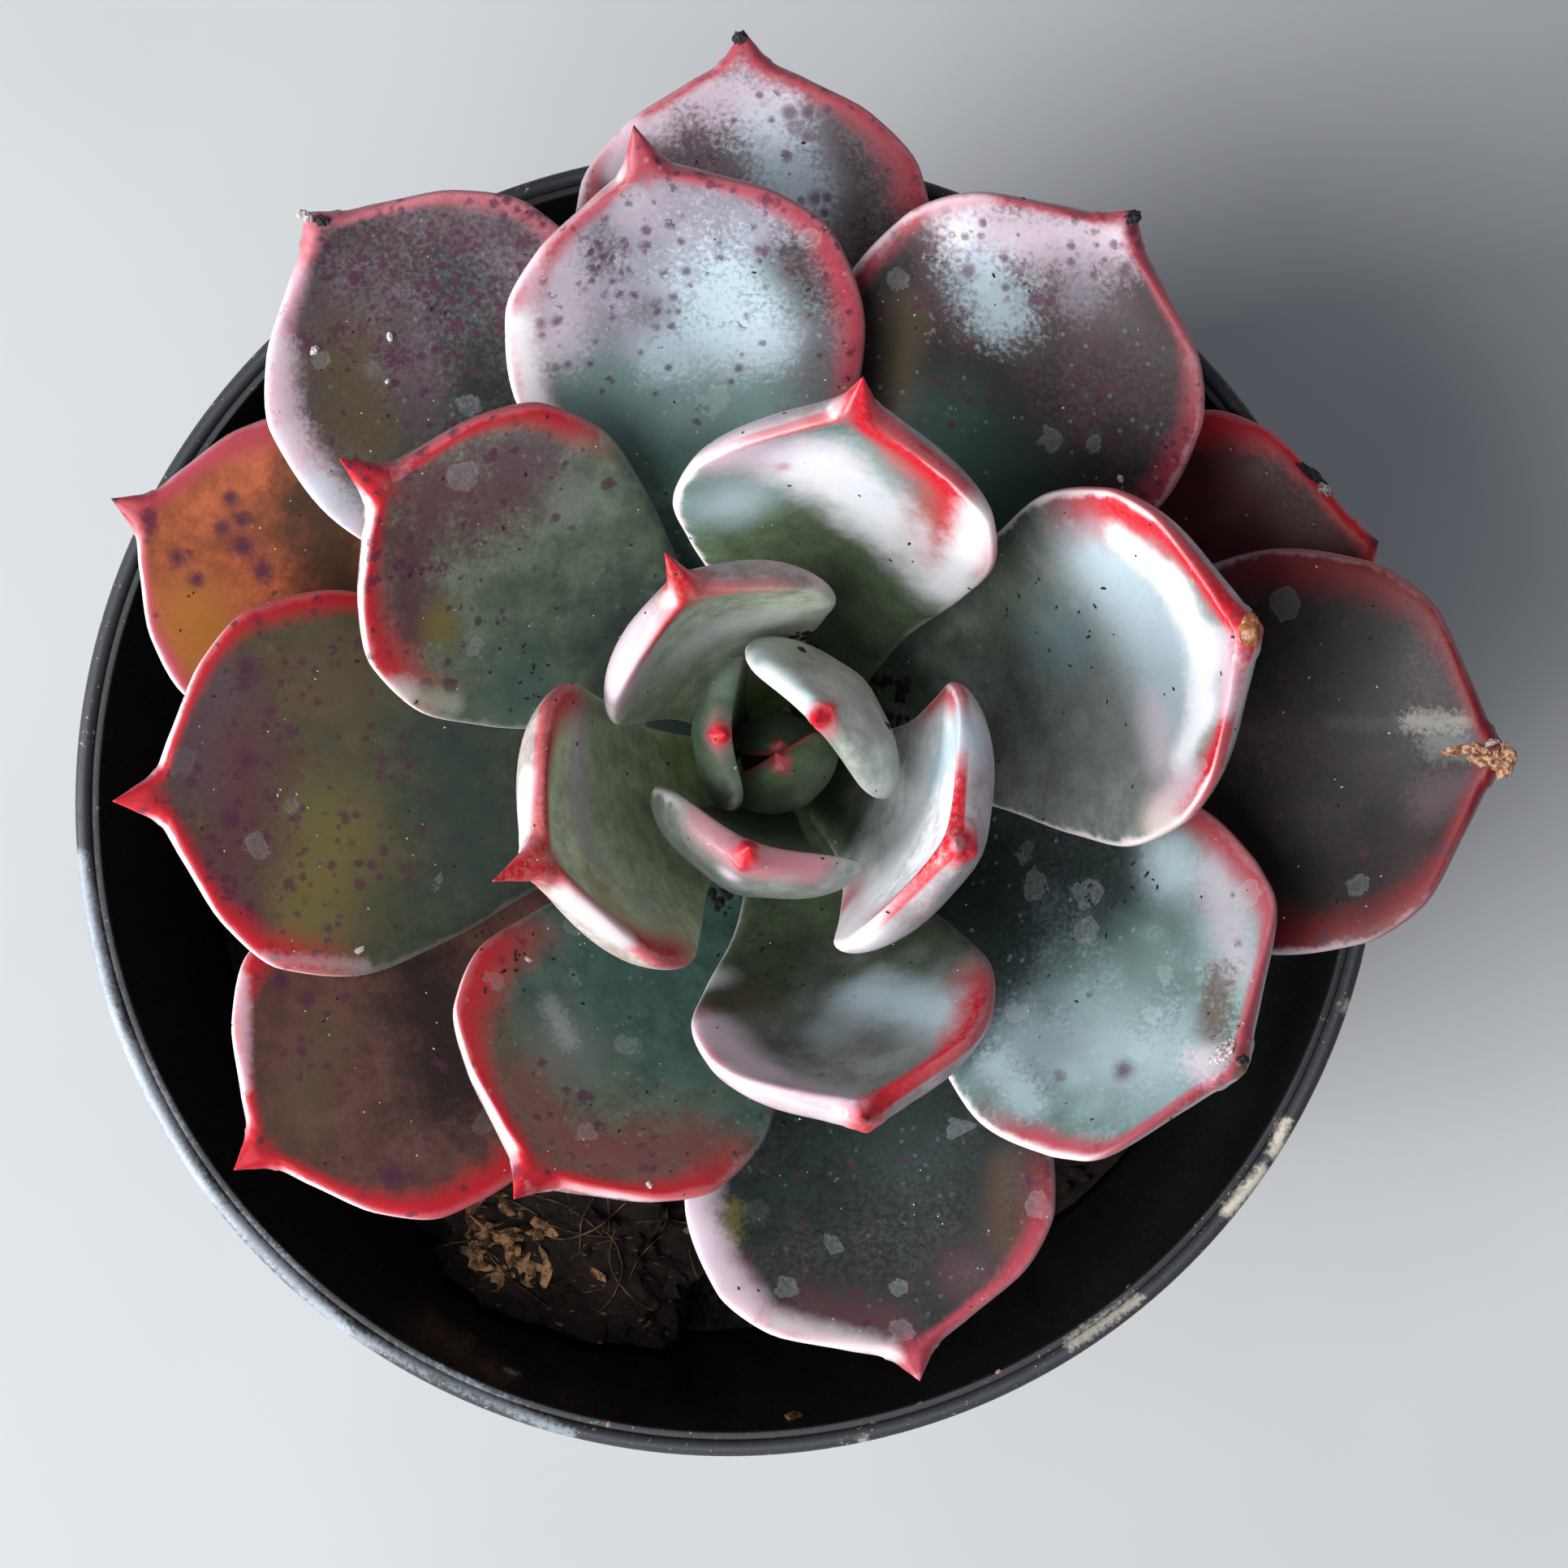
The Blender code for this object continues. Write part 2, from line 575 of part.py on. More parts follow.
def main():
    clear_scene()
    parts = new_collection("potted_echeveria")
    pot_cutters = new_collection("pot_cutters")
    soil_cutters = new_collection("soil_cutters")
    make_pot(parts, pot_cutters)
    make_soil(parts, soil_cutters)
    make_clod(parts)
    make_stem(parts)
    make_leaves(parts)
    make_bud(parts)


main()
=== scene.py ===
"""Looks of a potted echeveria: waxy leaves with red margins on a short stem, in a round black nursery pot.

Metres, +Z up, +X to the right and +Y up in the view from above. Leaves are numbered from the crown
outwards. The places and sizes of the leaves are the same values that the solids are made from.
"""

import math
import random
from collections import namedtuple

import bpy
from mathutils import Matrix, Vector, noise
from mathutils.bvhtree import BVHTree


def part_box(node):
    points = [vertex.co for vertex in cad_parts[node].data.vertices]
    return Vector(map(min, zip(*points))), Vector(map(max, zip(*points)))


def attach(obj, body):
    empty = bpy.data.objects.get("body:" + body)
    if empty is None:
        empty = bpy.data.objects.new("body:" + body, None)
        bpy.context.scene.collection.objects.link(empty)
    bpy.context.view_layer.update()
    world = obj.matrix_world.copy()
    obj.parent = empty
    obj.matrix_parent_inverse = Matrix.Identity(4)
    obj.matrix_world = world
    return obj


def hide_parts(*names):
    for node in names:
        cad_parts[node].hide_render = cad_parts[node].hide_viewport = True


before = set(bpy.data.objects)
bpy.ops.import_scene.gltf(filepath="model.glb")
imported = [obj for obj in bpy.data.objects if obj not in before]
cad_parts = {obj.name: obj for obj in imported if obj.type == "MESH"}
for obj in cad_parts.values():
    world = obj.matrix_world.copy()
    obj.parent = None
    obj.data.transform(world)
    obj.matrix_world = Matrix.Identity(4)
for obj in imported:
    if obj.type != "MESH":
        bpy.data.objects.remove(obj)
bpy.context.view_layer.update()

MM = 0.001

# The camera looks straight down, a reading distance above the rim, as the photograph does.
FRAME_PIXELS = 1932
RIM_PIXELS = 1612
CAMERA_X, CAMERA_Y = 3.85 * MM, 1.34 * MM
CAMERA_ABOVE_RIM = 300.0 * MM
SENSOR = 36.0

# The pot, from the frame
_, POT_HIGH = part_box("pot")
POT_HEIGHT = POT_HIGH.z
RIM_RADIUS = POT_HIGH.x
WALL_SLOPE = 0.165
RIM_INNER_RADIUS = RIM_RADIUS - 1.6 * MM
WALL = 0.9 * MM
COLLAR_HEIGHT = 9.0 * MM
FLOOR = 1.1 * MM
CHANNEL_INNER_RADIUS = 13.0 * MM
CHANNEL_OUTER_RADIUS = 26.5 * MM
CHANNEL_RISE = 1.2 * MM
CHANNEL_EDGE = 0.8 * MM
FOOT_CORNER = 1.6 * MM
COLLAR_CORNER = 0.35 * MM
RIM_STEP = 0.4 * MM
CENTRE_RING = 0.5 * MM
POT_BEVEL = 0.22 * MM
DRAIN_HOLES = 6
DRAIN_HOLE_RADIUS = 3.2 * MM
DRAIN_RING_RADIUS = 19.75 * MM
POT_SIDES = 256
BEAD_STEPS = 8
RIM_GREY = (0.040, 0.043, 0.048)
WEAR_AND_HIGHLIGHT_GREY = (0.42, 0.47, 0.52)
PLASTIC_BLACK = (0.008, 0.008, 0.009)
LIME_GREY = (0.42, 0.40, 0.36)

# The soil
SOIL_HEIGHT = 58.0 * MM
SOIL_EDGE_DROP = 2.0 * MM
SOIL_EDGE_START = 33.0 * MM
SOIL_EDGE_WIDTH = 6.0 * MM
SOIL_MOUND = 1.4 * MM
SOIL_MOUND_RADIUS = 9.0 * MM
SOIL_LUMPS = 0.55 * MM
SOIL_LUMP_SPACING = 9.0 * MM
SOIL_GAP = 0.3 * MM
SOIL_SIDES = 160
SOIL_RINGS = 84
SOIL_CRUMBS = 1500
CRUMB_SEED = 11
CRUMB_REACH = 38.6 * MM
CRUMB_SIZES = (0.25, 0.7)  # half widths in millimetres
BIG_CRUMB_SHARE = 0.12
BIG_CRUMB_GROWTH = 1.2
PEAT_DARK = (0.005, 0.003, 0.002)
PEAT_LIGHT = (0.032, 0.016, 0.009)
BARK_CHIP = (0.16, 0.085, 0.040)

# The clod of coir
CLOD_X, CLOD_Y = -11.5 * MM, -31.8 * MM
CLOD_LONG, CLOD_WIDE, CLOD_HIGH = 9.2 * MM, 7.0 * MM, 5.6 * MM
CLOD_MIDDLE = 61.5 * MM
CLOD_TURN = math.radians(-16)
CLOD_GAP = 0.4 * MM
COIR_DARK = (0.003, 0.0015, 0.001)
COIR_LIGHT = (0.026, 0.011, 0.005)
COIR_STRAND = (0.34, 0.18, 0.08)

# The stem
STEM_X, STEM_Y = 3.5 * MM, 3.0 * MM
STEM_RADIUS = 5.0 * MM
STEM_TOP_RADIUS = 2.2 * MM
STEM_RINGS = 60
STEM_DARK = (0.07, 0.05, 0.025)
STEM_LIGHT = (0.24, 0.20, 0.11)

# The rosette
LAST_LEAF = 24
LOWEST_LEAF_HEIGHT = 66.5 * MM
LEAF_STEP = 0.9 * MM
UPPER_SHARE = 0.4
LINE_STEPS = 240
LEAF_SEGMENTS = 72
RINGS_PER_STRETCH = 6
BUD_SEGMENTS = 40
BUD_RINGS_PER_STRETCH = 4
FOOT_GAP = 0.03 * MM
BUD_FOOT_DISTANCE = 1.0 * MM
KEEL = 0.22
KEEL_WIDTH = 0.20

# Places along a leaf: 0 to 1 is its blade, 1 to 2 its sharp point.
POINT_START = 1.0
LEAF_RINGS = (0.0, 0.02, 0.10, 0.22, 0.34, 0.46, 0.58, 0.70, 0.80, 0.88, 0.94, 0.975, 1.0, 1.5, 2.0)
FOOT_HOLLOW = 0.45
FULL_HOLLOW_PLACE = 0.70
TIP_HOLLOW = 0.50
TIP_HOLLOW_PLACE = 0.94
HOOK_PLACE = 0.93
TIP_CHANGE = 0.3
ROUNDEST_SECTION = 1.7

# Place along a leaf, and the share of its greatest half width there
OUTLINE = (
    (0.00, 0.00), (0.02, 0.30), (0.11, 0.38), (0.32, 0.58), (0.53, 0.86), (0.70, 1.00),
    (0.83, 0.93), (0.92, 0.67), (0.973, 0.32), (1.00, 0.14), (1.50, 0.06), (2.00, 0.00),
)

# Place along a leaf, and the share of its greatest thickness there
FOOT_THICKNESS = 0.55
THICKNESS = (
    (0.00, FOOT_THICKNESS), (0.15, 0.72), (0.40, 0.95), (0.65, 1.00), (0.85, 0.85), (0.97, 0.60),
    (2.00, 0.50),
)

# Some blades stay wide nearly up to the point: a share of the half width is added round this place.
FULL_PLACE = 0.925
FULL_SPREAD = 0.05

# One row a leaf: millimetres and degrees, as in the solids.
Leaf = namedtuple(
    "Leaf", "number azimuth length width base_rise tip_rise point hollow thickness hook roll turn full"
)
LEAVES = (
    Leaf(2, 157, 19.6, 10.4, 76, 100, 0.8, 36, 2.3, 0, 28, 0, 0.10),
    Leaf(3, 43, 23.2, 14.0, 65, 115, 1.0, 36, 2.8, 0, 0, 0, 0.10),
    Leaf(4, -108, 25.0, 15.2, 63, 105, 1.2, 40, 3.0, 0, -4, 0, 0.10),
    Leaf(5, 119, 29.8, 17.8, 62, 83, 3.4, 45, 3.3, 45, 0, 0, 0),
    Leaf(6, -21, 31.8, 20.0, 55, 93, 1.2, 42, 3.4, 0, 19, -23, 0.08),
    Leaf(7, 203.5, 34.6, 21.0, 54, 81, 3.9, 40, 3.5, 45, 0, 0, 0),
    Leaf(8, 75.5, 36.4, 22.4, 43, 71.5, 3.2, 38, 3.5, 20, 0, 5, 0),
    Leaf(9, -74, 36.4, 20.8, 42, 73, 1.6, 36, 3.5, 0, 0, -7, 0.08),
    Leaf(10, 144, 37.8, 22.8, 32, 42, 3.8, 28, 3.5, 0, 0, 4, 0),
    Leaf(11, 17, 39.6, 24.8, 33, 60, 1.2, 34, 3.6, 0, 0, -5, 0.06),
    Leaf(12, -116.5, 36.2, 23.6, 30, 42, 2.6, 30, 3.6, 0, 0, -10.5, 0),
    Leaf(13, 102, 43.8, 24.4, 26, 34, 3.2, 22, 3.6, 0, 0, 2, 0),
    Leaf(14, -33, 38.3, 26.4, 26, 38, 1.0, 26, 3.6, 0, 0, -2, 0.12),
    Leaf(15, 182.3, 43.8, 26.4, 22, 28, 3.2, 20, 3.6, 0, 0, 3, 0),
    Leaf(16, 60.5, 44.0, 26.6, 24, 34, 1.8, 24, 3.6, 0, 0, -8, 0.05),
    Leaf(17, -79, 41.4, 25.8, 20, 26, 2.2, 22, 3.6, 0, 0, 4, 0.04),
    Leaf(18, 130, 47.6, 25.4, 21, 28, 1.6, 22, 3.6, 0, 0, 2, 0),
    Leaf(19, 2, 48.4, 27.8, 23, 28, 1.4, 18, 3.6, 0, 0, -4, 0.06),
    Leaf(20, -143, 44.2, 24.6, 18, 24, 2.4, 20, 3.4, 0, 0, 0, 0),
    Leaf(21, 92.8, 47.8, 25.2, 22, 24, 2.2, 18, 3.4, 0, 0, 0, 0),
    Leaf(23, 160, 46.6, 23.0, 22, 20, 2.4, 16, 3.2, 0, 0, -3, 0),
    Leaf(24, 20, 41.6, 27.0, 25, 22, 1.0, 8, 3.2, 0, 0, 0, 0.04),
)
BUD_LEAVES = (
    Leaf(1, -60, 14.0, 7.8, 66, 126, 0.7, 36, 2.2, 0, 0, 0, 0.10),
    Leaf(0, 84, 11.5, 6.6, 68, 122, 0.6, 34, 1.8, 0, 0, 0, 0.10),
    Leaf(-1, 218, 8.6, 4.6, 74, 112, 0.5, 32, 1.5, 0, 0, 0, 0.10),
)
BUD_CORE_RADIUS = 1.75 * MM
BUD_CORE_HEIGHT = 3.4 * MM
BUD_CORE_SINK = 0.5

# Leaf colours
BLACK_BROWN = (0.014, 0.009, 0.007)
UMBER = (0.024, 0.016, 0.013)
INK_TEAL = (0.014, 0.024, 0.022)
DARK_TEAL = (0.030, 0.048, 0.043)
SMOKE = (0.020, 0.021, 0.018)
DEEP_GREEN = (0.052, 0.074, 0.042)
MOSS = (0.100, 0.140, 0.075)
TEAL = (0.060, 0.125, 0.105)
SEA = (0.17, 0.26, 0.24)
BLUE_HAZE = (0.18, 0.27, 0.29)
GREY_GREEN = (0.22, 0.24, 0.22)
PALE_JADE = (0.36, 0.39, 0.34)
DEEP_SAGE = (0.110, 0.150, 0.105)
SAGE = (0.23, 0.27, 0.20)
PALE_SAGE = (0.46, 0.52, 0.40)
SPRING = (0.40, 0.54, 0.20)
PALE_SPRING = (0.66, 0.76, 0.50)
OLIVE_YELLOW = (0.20, 0.165, 0.045)
OLIVE_BROWN = (0.115, 0.080, 0.040)
GREY_PLUM = (0.11, 0.070, 0.082)
LILAC_GREY = (0.30, 0.25, 0.30)
PURPLE_BROWN = (0.125, 0.042, 0.050)
DUSK_PLUM = (0.046, 0.021, 0.021)
RUST = (0.24, 0.048, 0.048)
RED_BROWN = (0.120, 0.050, 0.038)
AMBER = (0.42, 0.105, 0.040)
HONEY = (0.50, 0.19, 0.03)
DARK_AMBER = (0.050, 0.026, 0.012)
MAROON = (0.085, 0.009, 0.006)
CRIMSON = (0.60, 0.006, 0.020)
ROSE = (0.46, 0.050, 0.075)
SALMON = (0.62, 0.16, 0.19)
DARK_RED = (0.22, 0.006, 0.010)
BLUSH = (0.56, 0.20, 0.24)
SPOT_PLUM = (0.085, 0.018, 0.048)
# Pale tones of the wax bloom, which the patches also use as painted sheen and painted highlights
WAX_AND_HIGHLIGHT_BLUE = (0.60, 0.74, 0.80)
WAX_AND_HIGHLIGHT_PINK = (0.78, 0.62, 0.70)
WAX_AND_HIGHLIGHT_WHITE = (0.92, 0.93, 0.95)
LIP_HIGHLIGHT_PINK = (0.95, 0.82, 0.84)
CREAM = (0.74, 0.66, 0.54)
SCAB_BROWN = (0.11, 0.055, 0.030)
NEAR_BLACK = (0.010, 0.008, 0.007)
LEAF_BACK = (0.44, 0.34, 0.35)
DRIED_LIME = (0.62, 0.68, 0.68)

# A leaf's look: colours at the foot, the middle and the outer half; the margin's colour; for its left and
# its right, seen from the stem, the band's width in millimetres and the share of the length where it
# starts; how far red runs down from the point; shares of wax, freckles and water marks; roughness; and
# the colours of the point's end and of the leaf's back.
Look = namedtuple(
    "Look", "foot middle outer red left left_from right right_from tip_red wax freckles marks rough end back",
    defaults=(CRIMSON, LEAF_BACK),
)
LOOKS = {
    -1: (DEEP_GREEN, DEEP_GREEN, DEEP_GREEN, ROSE, 0.0, 0.9, 0.0, 0.9, 0.5, 0.0, 0.0, 0.0, 0.50, ROSE, MOSS),
    0: (DEEP_GREEN, MOSS, DEEP_GREEN, ROSE, 0.3, 0.8, 0.3, 0.8, 1.0, 0.0, 0.0, 0.0, 0.46, ROSE, DEEP_GREEN),
    1: (DEEP_GREEN, MOSS, MOSS, ROSE, 0.3, 0.8, 0.3, 0.8, 1.2, 0.0, 0.0, 0.0, 0.46, ROSE, MOSS),
    2: (DEEP_GREEN, MOSS, MOSS, CRIMSON, 0.0, 0.9, 0.0, 0.9, 1.3, 0.0, 0.0, 0.0, 0.44, CRIMSON, DEEP_SAGE),
    3: (MOSS, SAGE, SAGE, CRIMSON, 0.0, 0.9, 0.0, 0.9, 1.5, 0.0, 0.0, 0.0, 0.40, CRIMSON, PALE_JADE),
    4: (MOSS, SAGE, SAGE, CRIMSON, 0.0, 0.9, 0.0, 0.9, 1.6, 0.0, 0.3, 0.0, 0.42, CRIMSON, GREY_GREEN),
    5: (SPRING, PALE_SAGE, PALE_SAGE, CRIMSON, 1.6, 0.74, 1.3, 0.86, 4.2, 0.0, 0.0, 0.0, 0.38),
    # Leaf 6's white middle and outer half are painted light on an inner face that the crown leaves shade
    6: (MOSS, WAX_AND_HIGHLIGHT_WHITE, WAX_AND_HIGHLIGHT_WHITE, CRIMSON, 1.4, 0.45, 2.2, 0.45, 2.0, 0.0, 0.0, 0.0, 0.34, BLUSH),
    7: (SPRING, PALE_SPRING, PALE_SPRING, CRIMSON, 1.8, 0.62, 1.7, 0.60, 4.4, 0.0, 0.0, 0.0, 0.40),
    8: (MOSS, MOSS, SEA, CRIMSON, 0.8, 0.85, 4.0, 0.60, 3.6, 0.0, 0.0, 0.1, 0.30),
    9: (MOSS, DEEP_GREEN, GREY_GREEN, CRIMSON, 2.0, 0.70, 0.9, 0.66, 2.2, 0.0, 0.1, 0.1, 0.34, DARK_RED),
    10: (DARK_TEAL, DEEP_SAGE, SAGE, CRIMSON, 2.0, 0.66, 1.3, 0.66, 4.2, 0.0, 0.75, 0.45, 0.46),
    11: (MOSS, GREY_GREEN, GREY_GREEN, CRIMSON, 2.6, 0.74, 1.8, 0.80, 1.6, 0.0, 0.05, 0.35, 0.28),
    12: (TEAL, TEAL, DEEP_SAGE, CRIMSON, 1.6, 0.74, 2.1, 0.56, 3.0, 0.0, 0.35, 0.6, 0.44),
    13: (DARK_TEAL, TEAL, LILAC_GREY, ROSE, 1.6, 0.55, 1.5, 0.50, 3.6, 0.25, 0.65, 0.95, 0.40, DARK_RED),
    14: (INK_TEAL, INK_TEAL, SEA, ROSE, 1.5, 0.55, 1.3, 0.72, 1.0, 0.3, 0.10, 0.7, 0.38, SCAB_BROWN),
    15: (DARK_TEAL, DEEP_GREEN, OLIVE_BROWN, CRIMSON, 1.8, 0.72, 1.2, 0.55, 3.2, 0.0, 0.95, 0.06, 0.46),
    16: (DARK_TEAL, SMOKE, DUSK_PLUM, ROSE, 1.0, 0.45, 1.3, 0.45, 1.2, 0.05, 0.60, 0.9, 0.42, NEAR_BLACK),
    17: (INK_TEAL, INK_TEAL, SMOKE, ROSE, 1.5, 0.76, 1.7, 0.78, 2.8, 0.05, 0.30, 0.35, 0.46, SALMON),
    18: (INK_TEAL, DARK_TEAL, GREY_PLUM, SALMON, 1.5, 0.30, 1.0, 0.55, 1.2, 0.1, 0.95, 0.5, 0.48, WAX_AND_HIGHLIGHT_PINK),
    19: (BLACK_BROWN, UMBER, UMBER, DARK_RED, 2.0, 0.62, 2.0, 0.62, 0.8, 0.0, 0.20, 0.05, 0.42, SCAB_BROWN),
    20: (BLACK_BROWN, RED_BROWN, RED_BROWN, CRIMSON, 1.6, 0.55, 1.4, 0.50, 2.8, 0.0, 0.45, 0.05, 0.46),
    21: (SMOKE, DUSK_PLUM, GREY_PLUM, ROSE, 1.0, 0.50, 1.8, 0.50, 1.8, 0.12, 0.40, 0.0, 0.44, NEAR_BLACK),
    23: (BLACK_BROWN, DARK_AMBER, AMBER, ROSE, 1.0, 0.50, 1.9, 0.50, 3.0, 0.0, 0.12, 0.0, 0.42, MAROON),
    24: (MAROON, MAROON, MAROON, CRIMSON, 1.9, 0.40, 1.7, 0.40, 0.5, 0.0, 0.10, 0.0, 0.44, DARK_RED),
}

# The way towards the window: the pale line at the margins is painted brighter, as highlight, on edges that
# face this way
LIP_HIGHLIGHT_SIDE = (-0.91, -0.41, 0.0)

# What the leaves' grain, freckles and dried drops measure
GRAIN_SIZES = (("broad", 8.0 * MM, 2.0), ("medium", 1.9 * MM, 3.0), ("fine", 0.36 * MM, 4.0))
FRECKLE_SPACINGS = (1.5 * MM, 0.85 * MM)
DROP_SPACING = 2.7 * MM
SPECK_SPACING = 0.8 * MM
